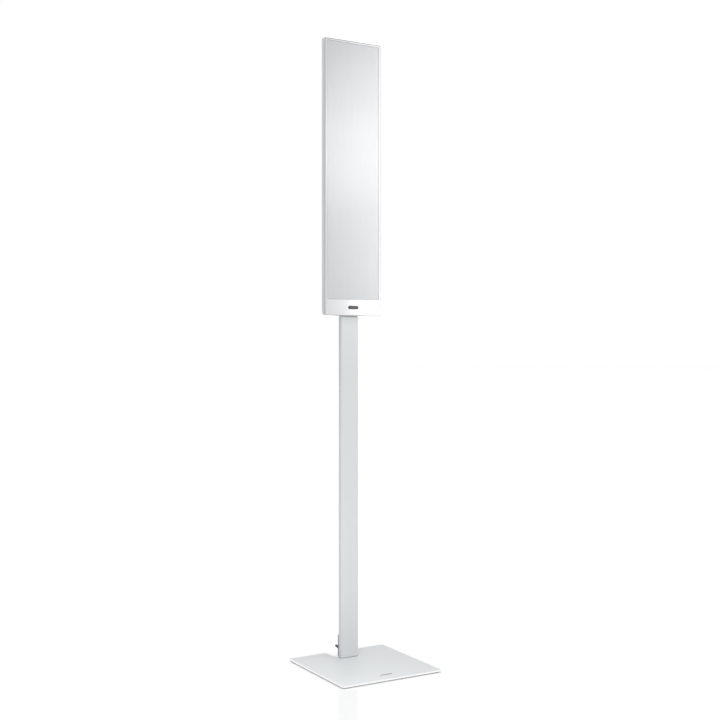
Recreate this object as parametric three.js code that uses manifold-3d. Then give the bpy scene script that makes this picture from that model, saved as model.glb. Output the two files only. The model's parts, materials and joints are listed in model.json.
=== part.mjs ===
// A slim floorstanding loudspeaker: a flat two-way cabinet on a rectangular post and a square base.
// Millimetres, +Z up, the front faces -Y. The origin is on the floor under the middle of the base.
import * as THREE from 'three';
import { mergeVertices } from 'three/addons/utils/BufferGeometryUtils.js';
import Module from 'manifold-3d';

const wasm = await Module();
wasm.setup();

// ---------------------------------------------------------------- driving dimensions

const BASE = { width: 240, depth: 240, thickness: 4, corner: 3 };
const NOTCH = { width: 55, innerY: 78.5, corner: 6 };
const MARK = { halfWidth: 14.5, halfDepth: 1.2, y: -91, proud: 0.3 };
const PAD = { radius: 9, thickness: 1.2, inset: 16 };
const GASKET = { thickness: 1, inset: 0.5 };
const POST = { width: 43, depth: 12, wall: 1.8, corner: 1.5, frontY: 62.5, topZ: 754.5 };
const DUCT = { halfWidth: 12.4 };
const PORT = { x: 15.5, radius: 2.1, clearance: 2.3 };

const HEAD = { width: 140, height: 600, depth: 35, frontY: 46.5, bottomZ: 757, wall: 2.5, endWall: 3 };
const FRAME = { depth: 6.5, rail: 4.5, strip: 35, skin: 2.5 };
const BACK = { sideEnd: 14, corner: 6 };
const BAFFLE = { front: 8, thickness: 3, clearance: 0.3, bottom: 6 };
const LEDGE = { inner: 63.5, front: 11.5, thickness: 2, bottom: 10 };
const BAFFLE_SCREW = { x: 58, z: 20 };
const BAY = { halfWidth: 25, wall: 2, floor: 16, top: 150 };
const COVER = { thickness: 2, gap: 0.3, rail: 1.5, screwZ: 143 };
const BRACKET = { flange: 2.2, tongueFront: 19, thickness: 3, neck: 11.5, halfWidth: 18, height: 95 };
const FIXING = { lowerZ: 35, upperZ: 75, boss: 5 };

const GRILLE = { gap: 0.3, clothFront: 0.4, clothBack: 0.95, frameFront: 1, frameBack: 3.4, rim: 5.25 };
const PEG = { x: 62.6, lowZ: 75, highZ: 555, radius: 2, end: 10.5, hole: 2.4 };
const BADGE = { width: 26, height: 8, proud: 0.5 };

const TWEETER = { z: 318, hole: 22.5, magnet: 17 };
const WOOFER = { spacing: 95, hole: 52.8 };

const PANEL = { thickness: 3, bottomZ: 6.4, topZ: 54, screwZ: 46 };
const TERMINAL = { x: 10.5, z: 22.5, stud: 1.95, bore: 2.15, washer: 3.9 };
const LEAD = { radius: 1.75, core: 1, y: 24.1 };
const LOOM = { radius: 1.5, core: 1.1, x: 51, y: 25 };
const BOARD = { halfWidth: 40, front: 28, thickness: 1.5, bottom: 484, top: 534 };

const SEAT = 0.02;

// ---------------------------------------------------------------- derived places

const baseTop = PAD.thickness + BASE.thickness;
const postBottom = baseTop + GASKET.thickness;
const postMiddleY = POST.frontY + POST.depth / 2;
const postRearY = POST.frontY + POST.depth;
const panelRearY = postRearY + PANEL.thickness;
const windowTop = HEAD.height - FRAME.rail;
const windowHalf = HEAD.width / 2 - FRAME.rail;
const wooferZ = { lower: TWEETER.z - WOOFER.spacing, upper: TWEETER.z + WOOFER.spacing };

// The same heights and depths as the head's own frame has them.
const postInHead = POST.frontY - HEAD.frontY;
const postMiddleInHead = postMiddleY - HEAD.frontY;

// ---------------------------------------------------------------- materials

function finish(color, roughness, metalness) {
  return new THREE.MeshStandardMaterial({ color, roughness, metalness });
}

const FINISH = {
  whitePaint: finish(0xe9eaec, 0.4, 0.1),
  silverPost: finish(0xd6d9da, 0.35, 0.4),
  glossWhite: finish(0xf4f5f6, 0.1, 0),
  shellWhite: finish(0xe2e4e6, 0.35, 0),
  silverCloth: finish(0xd9dbdd, 0.7, 0.1),
  darkPlastic: finish(0x3a3c3f, 0.6, 0),
  blackPlastic: finish(0x17181a, 0.5, 0),
  redPlastic: finish(0xa8201c, 0.45, 0),
  rubber: finish(0x222326, 0.9, 0),
  steel: finish(0x9b9ea1, 0.35, 0.9),
  blackSteel: finish(0x2b2c2e, 0.5, 0.6),
  nickel: finish(0xc9cacb, 0.2, 1),
  copper: finish(0xb0693a, 0.4, 0.9),
  alloyCone: finish(0xc3c6c9, 0.3, 0.6),
  wool: finish(0xe8e6df, 1, 0),
  circuit: finish(0x1f5a3a, 0.6, 0),
  weave: finish(0xc49a55, 0.9, 0),
};

// ---------------------------------------------------------------- solids

// A closed geometry as a solid that can be joined and cut.
function solid(geometry) {
  const bare = new THREE.BufferGeometry();
  bare.setAttribute('position', geometry.getAttribute('position'));
  bare.setIndex(geometry.index);
  const merged = mergeVertices(bare, 1e-4);
  return new wasm.Manifold(
    new wasm.Mesh({
      numProp: 3,
      vertProperties: merged.attributes.position.array,
      triVerts: new Uint32Array(merged.index.array),
    }),
  );
}

function geometryOf(body) {
  const mesh = body.getMesh();
  const geometry = new THREE.BufferGeometry();
  geometry.setAttribute('position', new THREE.BufferAttribute(mesh.vertProperties, 3));
  geometry.setIndex(new THREE.BufferAttribute(mesh.triVerts, 1));
  geometry.computeVertexNormals();
  return geometry;
}

function joined(bodies) {
  return bodies.reduce((whole, body) => whole.add(body));
}

function cut(body, tools) {
  return tools.reduce((left, tool) => left.subtract(tool), body);
}

function block(x0, x1, y0, y1, z0, z1) {
  const box = new THREE.BoxGeometry(x1 - x0, y1 - y0, z1 - z0);
  return solid(box.translate((x0 + x1) / 2, (y0 + y1) / 2, (z0 + z1) / 2));
}

// A block centred on x = 0.
function centred(halfWidth, y0, y1, z0, z1) {
  return block(-halfWidth, halfWidth, y0, y1, z0, z1);
}

// A round bar along Y from y0 to y1.
function barY(radius, y0, y1, x = 0, z = 0, segments = 10) {
  const bar = new THREE.CylinderGeometry(radius, radius, y1 - y0, segments);
  return solid(bar.translate(x, (y0 + y1) / 2, z));
}

// A round bar along Z from z0 to z1.
function barZ(radius, z0, z1, x = 0, y = 0, segments = 10) {
  const bar = new THREE.CylinderGeometry(radius, radius, z1 - z0, segments);
  return solid(bar.rotateX(Math.PI / 2).translate(x, y, (z0 + z1) / 2));
}

// A solid of revolution about Y from an outline of [radius, y] points, anticlockwise in (radius, y).
function turned(outline, segments = 16) {
  const points = outline.map(([radius, y]) => new THREE.Vector2(radius, y));
  const closed = outline[0][0] > 0 ? [...points, points[0].clone()] : points;
  return solid(new THREE.LatheGeometry(closed, segments));
}

function extruded(shape, z0, z1, curveSegments = 3) {
  const options = { depth: z1 - z0, bevelEnabled: false, curveSegments };
  return solid(new THREE.ExtrudeGeometry(shape, options).translate(0, 0, z0));
}

function roundedRectangle(width, depth, radius, middleY = 0) {
  const w = width / 2 - radius;
  const d = depth / 2 - radius;
  const shape = new THREE.Shape();
  shape.absarc(w, middleY + d, radius, 0, Math.PI / 2);
  shape.absarc(-w, middleY + d, radius, Math.PI / 2, Math.PI);
  shape.absarc(-w, middleY - d, radius, Math.PI, Math.PI * 1.5);
  shape.absarc(w, middleY - d, radius, Math.PI * 1.5, Math.PI * 2);
  return shape;
}

// A round cable of the given radius along a smooth curve through the points.
function cable(points, radius, steps) {
  const section = new THREE.Shape().absarc(0, 0, radius, 0, Math.PI * 2);
  const path = new THREE.CatmullRomCurve3(points.map((point) => new THREE.Vector3(...point)));
  const options = { steps, extrudePath: path, curveSegments: 3, bevelEnabled: false };
  return solid(new THREE.ExtrudeGeometry(section, options));
}

function part(name, body, material) {
  const mesh = new THREE.Mesh(geometryOf(body), material);
  mesh.name = name;
  return mesh;
}

// The same body at several places, each copy a mesh of its own: places is {name: [x, y, z]}.
function copies(places, body, material) {
  return Object.entries(places).map(([name, [x, y, z]]) => {
    const mesh = part(name, body, material);
    mesh.position.set(x, y, z);
    return mesh;
  });
}

// The places left and right of the middle, as {name_left: [...], name_right: [...]}.
function pair(name, x, y, z) {
  return { [`${name}_left`]: [-x, y, z], [`${name}_right`]: [x, y, z] };
}

// ---------------------------------------------------------------- screws

// A pan-head screw along Y: the head stands on y = 0 towards +Y, the shank runs towards -Y.
function panScrew(shank, head, headHeight, length) {
  const outline = [
    [0, -length],
    [shank, -length],
    [shank, 0],
    [head, 0],
    [head * 0.8, headHeight],
    [0, headHeight],
  ];
  const slot = block(-head, head, headHeight - 0.8, headHeight + 1, -0.5, 0.5);
  return turned(outline, 10).subtract(slot);
}

// A countersunk screw that stands along +Z, with its head flush at z = 0.
function countersunkScrew(shank, head, length) {
  const outline = [
    [0, 0],
    [head, 0],
    [shank, head - shank],
    [shank, length],
    [0, length],
  ];
  const hexagon = barZ(1.6, -1, 1.6, 0, 0, 6);
  return turned(outline, 12).rotate([90, 0, 0]).subtract(hexagon);
}

// ---------------------------------------------------------------- base and post

function basePlate() {
  const plate = extruded(roundedRectangle(BASE.width, BASE.depth, BASE.corner), PAD.thickness, baseTop);
  const notchDepth = BASE.depth - 2 * NOTCH.innerY;
  const notchShape = roundedRectangle(NOTCH.width, notchDepth, NOTCH.corner, BASE.depth / 2);
  const countersink = [
    [0, -1],
    [5.2, -1],
    [PORT.radius, 2.1],
    [0, 2.1],
  ];
  const screwHoles = [-PORT.x, PORT.x].flatMap((x) => [
    barZ(PORT.clearance, 0, baseTop + 1, x, postMiddleY),
    turned(countersink, 12).rotate([90, 0, 0]).translate([x, postMiddleY, PAD.thickness]),
  ]);
  return cut(plate, [extruded(notchShape, 0, baseTop + 1), ...screwHoles]);
}

// A plain inlaid bar near the front edge of the base.
function baseMark() {
  const { halfWidth, halfDepth, y, proud } = MARK;
  return centred(halfWidth, y - halfDepth, y + halfDepth, baseTop + SEAT, baseTop + proud);
}

function postGasket() {
  const inset = 2 * GASKET.inset;
  const outline = roundedRectangle(POST.width - inset, POST.depth - inset, POST.corner, postMiddleY);
  const holes = [-PORT.x, PORT.x].map((x) => barZ(PORT.clearance, 0, 20, x, postMiddleY));
  return cut(extruded(outline, baseTop, postBottom), holes);
}

// The post is an aluminium extrusion: a cable duct between two solid edges with screw ports.
function postExtrusion() {
  const outline = roundedRectangle(POST.width, POST.depth, POST.corner, postMiddleY);
  const past = POST.topZ + 1;
  const duct = centred(DUCT.halfWidth, POST.frontY + POST.wall, postRearY - POST.wall, 0, past);
  const ports = [-PORT.x, PORT.x].map((x) => barZ(PORT.radius, 0, past, x, postMiddleY));
  const terminalWindow = centred(DUCT.halfWidth + 1.8, postMiddleY, postRearY + 1, 12, 34);
  const panelScrewHoles = [-PORT.x, PORT.x].map((x) =>
    barY(1.4, postMiddleY, postRearY + 1, x, PANEL.screwZ),
  );
  return cut(extruded(outline, postBottom, POST.topZ), [
    duct,
    ...ports,
    terminalWindow,
    ...panelScrewHoles,
  ]);
}

function standGroup() {
  const stand = new THREE.Group();
  stand.add(part('base_plate', basePlate(), FINISH.whitePaint));
  stand.add(part('base_mark', baseMark(), FINISH.nickel));

  const footX = BASE.width / 2 - PAD.inset;
  const footY = BASE.depth / 2 - PAD.inset;
  const feet = {
    ...pair('foot_pad_front', footX, -footY, 0),
    ...pair('foot_pad_rear', footX, footY, 0),
  };
  stand.add(...copies(feet, barZ(PAD.radius, 0, PAD.thickness, 0, 0, 16), FINISH.rubber));

  const baseScrews = pair('base_screw', PORT.x, postMiddleY, PAD.thickness + 0.1);
  stand.add(...copies(baseScrews, countersunkScrew(1.9, 4, 24), FINISH.steel));
  stand.add(part('post_gasket', postGasket(), FINISH.rubber));
  stand.add(part('post_extrusion', postExtrusion(), FINISH.silverPost));
  return stand;
}

// ---------------------------------------------------------------- input terminals

// Terminal outlines are along Y from the rear face of the terminal panel, y = 0.

// A threaded stud with a flange behind the panel and a thin solder tail.
function terminalStud() {
  const { stud } = TERMINAL;
  return turned(
    [
      [0, -10],
      [1.2, -10],
      [1.2, -6.5],
      [3, -6.5],
      [3, -PANEL.thickness - SEAT],
      [stud, -PANEL.thickness - SEAT],
      [stud, 17],
      [0, 17],
    ],
    12,
  );
}

function terminalCollar() {
  return turned([
    [TERMINAL.bore, SEAT],
    [5.4, SEAT],
    [5.4, 3.4],
    [4.8, 4],
    [TERMINAL.bore, 4],
  ]);
}

function terminalWasher() {
  const { bore, washer } = TERMINAL;
  return turned([
    [bore, 4.1],
    [washer, 4.1],
    [washer, 5.1],
    [bore, 5.1],
  ]);
}

// A cap nut: a knurled grip, then a slim tail.
function terminalNut() {
  const { bore } = TERMINAL;
  return turned([
    [bore, 5.2],
    [4.4, 5.2],
    [4.4, 16.5],
    [2.9, 18.4],
    [2.6, 28],
    [2, 28.6],
    [0, 28.6],
    [0, 24],
    [bore, 24],
  ]);
}

function terminalPanel() {
  const plate = centred(POST.width / 2, 0, PANEL.thickness, PANEL.bottomZ, PANEL.topZ);
  const through = [-1, PANEL.thickness + 1];
  const studHoles = [-TERMINAL.x, TERMINAL.x].map((x) => barY(2.15, ...through, x, TERMINAL.z, 12));
  const screwHoles = [-PORT.x, PORT.x].map((x) => barY(1.6, ...through, x, PANEL.screwZ));
  return cut(plate, [...studHoles, ...screwHoles]);
}

function terminalGroup() {
  const terminals = new THREE.Group();
  const panel = part('terminal_panel', terminalPanel(), FINISH.darkPlastic);
  panel.position.y = postRearY;
  terminals.add(panel);

  const screws = pair('panel_screw', PORT.x, panelRearY + SEAT, PANEL.screwZ);
  terminals.add(...copies(screws, panScrew(1.2, 2.6, 1.6, 7.5), FINISH.steel));

  const poles = [
    ['negative', -TERMINAL.x, FINISH.blackPlastic],
    ['positive', TERMINAL.x, FINISH.redPlastic],
  ];
  for (const [pole, x, colour] of poles) {
    const post = new THREE.Group();
    post.position.set(x, panelRearY, TERMINAL.z);
    post.add(part(`terminal_stud_${pole}`, terminalStud(), FINISH.nickel));
    post.add(part(`terminal_collar_${pole}`, terminalCollar(), colour));
    post.add(part(`terminal_washer_${pole}`, terminalWasher(), FINISH.nickel));
    post.add(part(`terminal_nut_${pole}`, terminalNut(), colour));
    terminals.add(post);
  }
  return terminals;
}

// ---------------------------------------------------------------- bracket between post and head

// Head parts are in the head's own frame: x across, y back from the front face, z up from its bottom.

function standBracket() {
  const { flange, tongueFront, thickness, neck, halfWidth, height } = BRACKET;
  const flangeShape = roundedRectangle(POST.width - 1, POST.depth - 1, POST.corner, postMiddleInHead);
  const rear = tongueFront + thickness;
  const plates = [
    extruded(flangeShape, -flange, 0),
    centred(neck, tongueFront, rear, -1, 12),
    centred(halfWidth, tongueFront, rear, 8, height),
  ];
  const leadHole = barZ(2.4, -4, 1, 0, LEAD.y);
  const flangeHoles = [-PORT.x, PORT.x].map((x) => barZ(PORT.clearance, -4, 1, x, postMiddleInHead));
  const fixingHoles = [FIXING.lowerZ, FIXING.upperZ].map((z) => barY(2.3, 15, 26, 0, z));
  return cut(joined(plates), [leadHole, ...flangeHoles, ...fixingHoles]);
}

// The two-core lead runs up the duct, through the flange and into the bay, and splits at both ends.
function postLead() {
  const { radius, core, y } = LEAD;
  const studZ = TERMINAL.z - HEAD.bottomZ + 1.4;
  const tailY = panelRearY - HEAD.frontY - 8.3;
  const straight = barZ(radius, studZ + 39, -30, 0, y, 8);
  const upper = cable(
    [
      [0, y, -31],
      [0, y, -10],
      [0, y, 3],
      [3, 24.6, 12],
      [10, 25.3, 28],
      [11, 25.3, 60],
      [9, 25.3, 86],
      [3, 24, 100],
      [0, 22, 106],
    ],
    radius,
    24,
  );
  const bottomLegs = [-1, 1].map((side) =>
    cable(
      [
        [0, y, studZ + 40],
        [side * 4, y - 1, studZ + 28],
        [side * TERMINAL.x, tailY, studZ + 12],
        [side * TERMINAL.x, tailY, studZ],
      ],
      core,
      7,
    ),
  );
  const topLegs = [-1, 1].map((side) =>
    cable(
      [
        [0, 22.4, 104.6],
        [side * 4, 21.5, 108],
        [side * 7, 21, 111.6],
      ],
      core,
      4,
    ),
  );
  return joined([straight, upper, ...bottomLegs, ...topLegs]);
}

function bracketGroup() {
  const bracket = new THREE.Group();
  bracket.add(part('stand_bracket', standBracket(), FINISH.blackSteel));

  const downScrew = panScrew(1.9, 3.2, 2.2, 16).rotate([90, 0, 0]);
  const downScrews = pair('bracket_screw', PORT.x, postMiddleInHead, SEAT);
  bracket.add(...copies(downScrews, downScrew, FINISH.steel));

  const rear = BRACKET.tongueFront + BRACKET.thickness + SEAT;
  const fixings = {
    head_fixing_screw_lower: [0, rear, FIXING.lowerZ],
    head_fixing_screw_upper: [0, rear, FIXING.upperZ],
  };
  bracket.add(...copies(fixings, panScrew(1.9, 4, 2.6, 7), FINISH.steel));
  bracket.add(part('post_lead', postLead(), FINISH.blackPlastic));
  return bracket;
}

// ---------------------------------------------------------------- cabinet

// The cabinet's plan inside a wall: straight sides, rounded into 45 degree bevels, and a flat back.
function cabinetPlan(wall, front) {
  const side = HEAD.width / 2 - wall;
  const arc = BACK.corner - wall;
  const middle = HEAD.width / 2 - BACK.corner;
  const back = HEAD.depth - wall;
  const diagonal = arc * Math.SQRT1_2;
  const backHalf = middle + 2 * diagonal - (back - BACK.sideEnd);
  const shape = new THREE.Shape();
  shape.moveTo(-side, front);
  shape.lineTo(side, front);
  shape.absarc(middle, BACK.sideEnd, arc, 0, Math.PI / 4);
  shape.lineTo(backHalf, back);
  shape.lineTo(-backHalf, back);
  shape.absarc(-middle, BACK.sideEnd, arc, (Math.PI * 3) / 4, Math.PI);
  return shape;
}

// What the underside leaves of the cabinet, seen from the side: flat, then rounded into a bevel.
function undersideProfile(wall) {
  const arc = BACK.corner - wall;
  const diagonal = arc * Math.SQRT1_2;
  const past = HEAD.depth + 1;
  const bevelTop = BACK.corner - 2 * diagonal + past - FRAME.depth;
  const shape = new THREE.Shape();
  shape.moveTo(-1, HEAD.height + 1);
  shape.lineTo(-1, wall);
  shape.absarc(FRAME.depth, BACK.corner, arc, -Math.PI / 2, -Math.PI / 4);
  shape.lineTo(past, bevelTop);
  shape.lineTo(past, HEAD.height + 1);
  return extruded(shape, -HEAD.width, HEAD.width, 2).rotate([90, 0, 90]);
}

function baffleScrewBars(radius, y0, y1) {
  const { x, z } = BAFFLE_SCREW;
  return [-x, x].flatMap((sx) => [z, HEAD.height - z].map((sz) => barY(radius, y0, y1, sx, sz)));
}

function rearShell() {
  const outer = extruded(cabinetPlan(0, FRAME.depth), 0, HEAD.height, 4).intersect(undersideProfile(0));
  const top = HEAD.height - HEAD.endWall;
  const hollow = extruded(cabinetPlan(HEAD.wall, FRAME.depth - 1), HEAD.endWall, top, 4);
  const inner = hollow.intersect(undersideProfile(HEAD.wall));

  const rimX = HEAD.width / 2 - HEAD.wall;
  const ledgeTop = top - (rimX - LEDGE.inner);
  const ledgeRear = LEDGE.front + LEDGE.thickness;
  const ledge = centred(rimX + 0.5, LEDGE.front, ledgeRear, 1, top + 1);
  const ledgeOpening = centred(LEDGE.inner, 0, HEAD.depth, LEDGE.bottom, ledgeTop);
  const bosses = baffleScrewBars(4, LEDGE.front, 24);
  const lining = joined([ledge.subtract(ledgeOpening), ...bosses]).intersect(outer);

  const bayHalf = BAY.halfWidth + BAY.wall;
  const bay = centred(bayHalf, BAY.floor - BAY.wall, HEAD.depth, 0, BAY.top + BAY.wall);
  const bayHollow = centred(BAY.halfWidth, BAY.floor, HEAD.depth + 1, HEAD.endWall, BAY.top);
  const walls = joined([outer.subtract(inner), lining, bay]).subtract(bayHollow);

  const coverFront = HEAD.depth - COVER.thickness;
  const railSpan = [coverFront - 2, coverFront, HEAD.endWall - 0.5, BAY.top + 0.5];
  const insideEdge = BAY.halfWidth - COVER.rail;
  const outsideEdge = BAY.halfWidth + 0.5;
  const fittings = [
    barY(FIXING.boss, BAY.floor - 1, BRACKET.tongueFront, 0, FIXING.lowerZ),
    barY(FIXING.boss, BAY.floor - 1, BRACKET.tongueFront, 0, FIXING.upperZ),
    barY(3.5, BAY.floor - 1, coverFront, 0, COVER.screwZ),
    block(insideEdge, outsideEdge, ...railSpan),
    block(-outsideEdge, -insideEdge, ...railSpan),
  ];

  const holes = [
    centred(19.5, postInHead + 1.2, postInHead + 11.5, -1, HEAD.endWall + 1),
    barY(2.1, BAY.floor - 1.2, BRACKET.tongueFront + 1, 0, FIXING.lowerZ),
    barY(2.1, BAY.floor - 1.2, BRACKET.tongueFront + 1, 0, FIXING.upperZ),
    barY(1.3, 23, HEAD.depth, 0, COVER.screwZ),
    barZ(2.5, BAY.top - 1, BAY.top + BAY.wall + 1, 9, 25),
    ...baffleScrewBars(1.4, LEDGE.front - 1, 22),
  ];
  return cut(joined([walls, ...fittings]), holes);
}

// The cover over the bracket bay, with five vent slots.
function bayCover() {
  const half = BAY.halfWidth - COVER.gap;
  const front = HEAD.depth - COVER.thickness;
  const plate = centred(half, front, HEAD.depth, HEAD.endWall + COVER.gap, BAY.top - COVER.gap);
  const screwHole = barY(1.5, front - 1, HEAD.depth + 1, 0, COVER.screwZ);
  const ventSlots = [-2, -1, 0, 1, 2].map((i) =>
    block(6 * i - 1, 6 * i + 1, front - 1, HEAD.depth + 1, 20, 44),
  );
  return cut(plate, [screwHole, ...ventSlots]);
}

function baffle() {
  const half = HEAD.width / 2 - HEAD.wall - BAFFLE.clearance;
  const top = HEAD.height - HEAD.endWall - BAFFLE.clearance;
  const rear = BAFFLE.front + BAFFLE.thickness;
  const plate = centred(half, BAFFLE.front, rear, BAFFLE.bottom, top);
  const through = [BAFFLE.front - 1, rear + 1];
  const pegHoles = [-PEG.x, PEG.x].flatMap((x) =>
    [PEG.lowZ, PEG.highZ].map((z) => barY(PEG.hole, ...through, x, z)),
  );
  return cut(plate, [
    barY(WOOFER.hole, ...through, 0, wooferZ.lower, 20),
    barY(WOOFER.hole, ...through, 0, wooferZ.upper, 20),
    barY(TWEETER.hole, ...through, 0, TWEETER.z, 20),
    ...pegHoles,
    ...baffleScrewBars(1.7, ...through),
  ]);
}

// The front frame: slim rails round the grille window and a plain strip across the bottom.
function frontFrame() {
  const half = HEAD.width / 2;
  const { depth, strip, skin } = FRAME;
  const body = centred(half, 0, depth - SEAT, 0, HEAD.height);
  const window = centred(windowHalf, -1, depth + 1, strip, windowTop);
  const stripPocket = centred(half - skin, skin, depth + 1, skin, strip - skin);
  return cut(body, [window, stripPocket]);
}

// A plain pill-shaped plaque on the strip.
function badge() {
  const radius = BADGE.height / 2;
  const middle = BADGE.width / 2 - radius;
  const shape = new THREE.Shape();
  shape.absarc(middle, 0, radius, -Math.PI / 2, Math.PI / 2);
  shape.absarc(-middle, 0, radius, Math.PI / 2, Math.PI * 1.5);
  return extruded(shape, SEAT, BADGE.proud, 4).rotate([90, 0, 0]).translate([0, 0, FRAME.strip / 2]);
}

function terminalBlock() {
  const body = centred(14, BAY.floor + SEAT, 26.5, 112, 132);
  const wireEntries = [-7, 7].map((x) => barZ(1.4, 111, 120, x, 21));
  const screwWells = [-7, 7].map((x) => barY(2.6, 23, 28, x, 122));
  return cut(body, [...wireEntries, ...screwWells]);
}

function cabinetGroup() {
  const cabinet = new THREE.Group();
  cabinet.add(part('rear_shell', rearShell(), FINISH.shellWhite));
  cabinet.add(part('bay_cover', bayCover(), FINISH.shellWhite));
  cabinet.add(part('baffle', baffle(), FINISH.darkPlastic));
  cabinet.add(part('front_frame', frontFrame(), FINISH.glossWhite));
  cabinet.add(part('badge', badge(), FINISH.blackPlastic));
  cabinet.add(part('head_terminal_block', terminalBlock(), FINISH.darkPlastic));

  const coverScrew = { cover_screw: [0, HEAD.depth + SEAT, COVER.screwZ] };
  cabinet.add(...copies(coverScrew, panScrew(1.1, 2.4, 1.2, 9), FINISH.steel));

  const { x, z } = BAFFLE_SCREW;
  const baffleScrews = {
    ...pair('baffle_screw_lower', x, BAFFLE.front - SEAT, z),
    ...pair('baffle_screw_upper', x, BAFFLE.front - SEAT, HEAD.height - z),
  };
  const baffleScrew = panScrew(1.2, 2.8, 1.6, 12).rotate([0, 0, 180]);
  cabinet.add(...copies(baffleScrews, baffleScrew, FINISH.blackSteel));
  return cabinet;
}

// ---------------------------------------------------------------- grille

// The frame behind the cloth, with cross bars clear of the cones and four pegs.
function grilleFrame() {
  const { gap, frameFront, frameBack, rim } = GRILLE;
  const half = windowHalf - gap;
  const low = FRAME.strip + gap;
  const high = windowTop - gap;
  const plate = centred(half, frameFront, frameBack, low, high);
  const opening = centred(half - rim, 0, frameBack + 1, low + rim, high - rim);
  const crossBars = [36.5, 158, 216]
    .flatMap((offset) => [TWEETER.z - offset, TWEETER.z + offset])
    .map((z) => centred(half - 1, frameFront, frameBack, z - 1.5, z + 1.5));
  const pegs = [-PEG.x, PEG.x].flatMap((x) =>
    [PEG.lowZ, PEG.highZ].map((z) => barY(PEG.radius, frameFront + 1, PEG.end, x, z)),
  );
  return joined([plate.subtract(opening), ...crossBars, ...pegs]);
}

function grilleCloth() {
  const { gap, clothFront, clothBack } = GRILLE;
  return centred(windowHalf - gap, clothFront, clothBack, FRAME.strip + gap, windowTop - gap);
}

function grilleGroup() {
  const grille = new THREE.Group();
  grille.add(part('grille_frame', grilleFrame(), FINISH.darkPlastic));
  grille.add(part('grille_cloth', grilleCloth(), FINISH.silverCloth));
  return grille;
}

// ---------------------------------------------------------------- bass drivers

// Driver outlines are [radius, depth behind the head's front face].

// Points on an arc in an outline, angles in degrees, 0 along +radius and 90 towards the front.
function arcPoints(centreRadius, centreY, radius, from, to, steps) {
  return Array.from({ length: steps + 1 }, (_, i) => {
    const angle = ((from + ((to - from) * i) / steps) * Math.PI) / 180;
    return [centreRadius + radius * Math.cos(angle), centreY - radius * Math.sin(angle)];
  });
}

function wooferBasket() {
  const frame = turned(
    [
      [24.6, 19],
      [36.5, 19],
      [36.5, 17.2],
      [50.5, 9.3],
      [50.5, 6.5],
      [58, 6.5],
      [58, BAFFLE.front - SEAT],
      [52.2, BAFFLE.front - SEAT],
      [52.2, 10],
      [38, 18],
      [38, 20.5],
      [24.6, 20.5],
    ],
    20,
  );
  const window = block(39.5, 49.4, 8.8, 18.4, -15, 15);
  return cut(
    frame,
    [45, 135, 225, 315].map((turn) => window.rotate([0, turn, 0])),
  );
}

// A half-roll edge: flat lips on the diaphragm and on the basket, and an arch between them.
function wooferSurround() {
  const middle = 47.5;
  const lipRear = 6.4;
  const lipFront = 5.9;
  return turned(
    [
      ...arcPoints(middle, lipFront, 3.3, 180, 0, 4),
      [53, lipFront],
      [53, lipRear],
      ...arcPoints(middle, lipRear, 2.8, 0, 180, 4),
      [42.6, lipRear],
      [42.6, lipFront],
    ],
    20,
  );
}

// Two skins, a nearly flat front disc and a shallow cone behind it, joined at the rim.
function wooferDiaphragm() {
  return turned(
    [
      [0, 7],
      [43, 6.5],
      [44, 6.5],
      [44, 7.6],
      [20.6, 15.2],
      [20.6, 16.2],
      [19.6, 16.2],
      [19.6, 14.6],
      [41.5, 7.5],
      [0, 7.9],
    ],
    20,
  );
}

function wooferCoil() {
  return turned(
    [
      [19.6, 16.3],
      [20.2, 16.3],
      [20.2, 20],
      [20.9, 20],
      [20.9, 26.5],
      [19.6, 26.5],
    ],
    20,
  );
}

// A corrugated ring between the coil's neck and the basket's shelf.
function wooferSpider() {
  const crests = [
    [21, 15.4],
    [25, 16.5],
    [29, 16],
    [32.5, 18.4],
    [35.9, 18.4],
  ];
  const rearFace = crests.map(([radius, y]) => [radius, y + 0.5]).reverse();
  return turned([...crests, ...rearFace], 20);
}

function wooferMagnet() {
  return turned(
    [
      [0, 20.7],
      [19, 20.7],
      [19, 23.5],
      [18, 23.5],
      [18, 29.5],
      [21.6, 29.5],
      [21.6, 20.7],
      [26.5, 20.7],
      [26.5, 32],
      [0, 32],
    ],
    20,
  );
}

function wooferGroup(which) {
  const woofer = new THREE.Group();
  woofer.position.z = wooferZ[which];
  woofer.add(part(`woofer_${which}_basket`, wooferBasket(), FINISH.blackSteel));
  woofer.add(part(`woofer_${which}_surround`, wooferSurround(), FINISH.rubber));
  woofer.add(part(`woofer_${which}_diaphragm`, wooferDiaphragm(), FINISH.alloyCone));
  woofer.add(part(`woofer_${which}_coil`, wooferCoil(), FINISH.copper));
  woofer.add(part(`woofer_${which}_spider`, wooferSpider(), FINISH.weave));
  woofer.add(part(`woofer_${which}_magnet`, wooferMagnet(), FINISH.steel));
  return woofer;
}

// ---------------------------------------------------------------- tweeter

function tweeterPlate() {
  return turned(
    [
      [17, 8],
      [24, 6.5],
      [36, 6.5],
      [36, BAFFLE.front - SEAT],
      [21.8, BAFFLE.front - SEAT],
      [21.8, 10.8],
      [13.6, 10.8],
      [13.6, 9.6],
    ],
    20,
  );
}

// A thin dome on a short tube that carries its coil.
function tweeterDome() {
  const outside = [90, 60, 30, 0].map((angle) => {
    const turn = (angle * Math.PI) / 180;
    return [12.4 * Math.cos(turn), 9.8 - 3.2 * Math.sin(turn)];
  });
  const inside = [0, 30, 60, 90].map((angle) => {
    const turn = (angle * Math.PI) / 180;
    return [11.9 * Math.cos(turn), 9.9 - 2.8 * Math.sin(turn)];
  });
  outside[0][0] = 0;
  inside[inside.length - 1][0] = 0;
  return turned([...outside, [12.4, 14.6], [11.9, 14.6], ...inside], 20);
}

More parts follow.
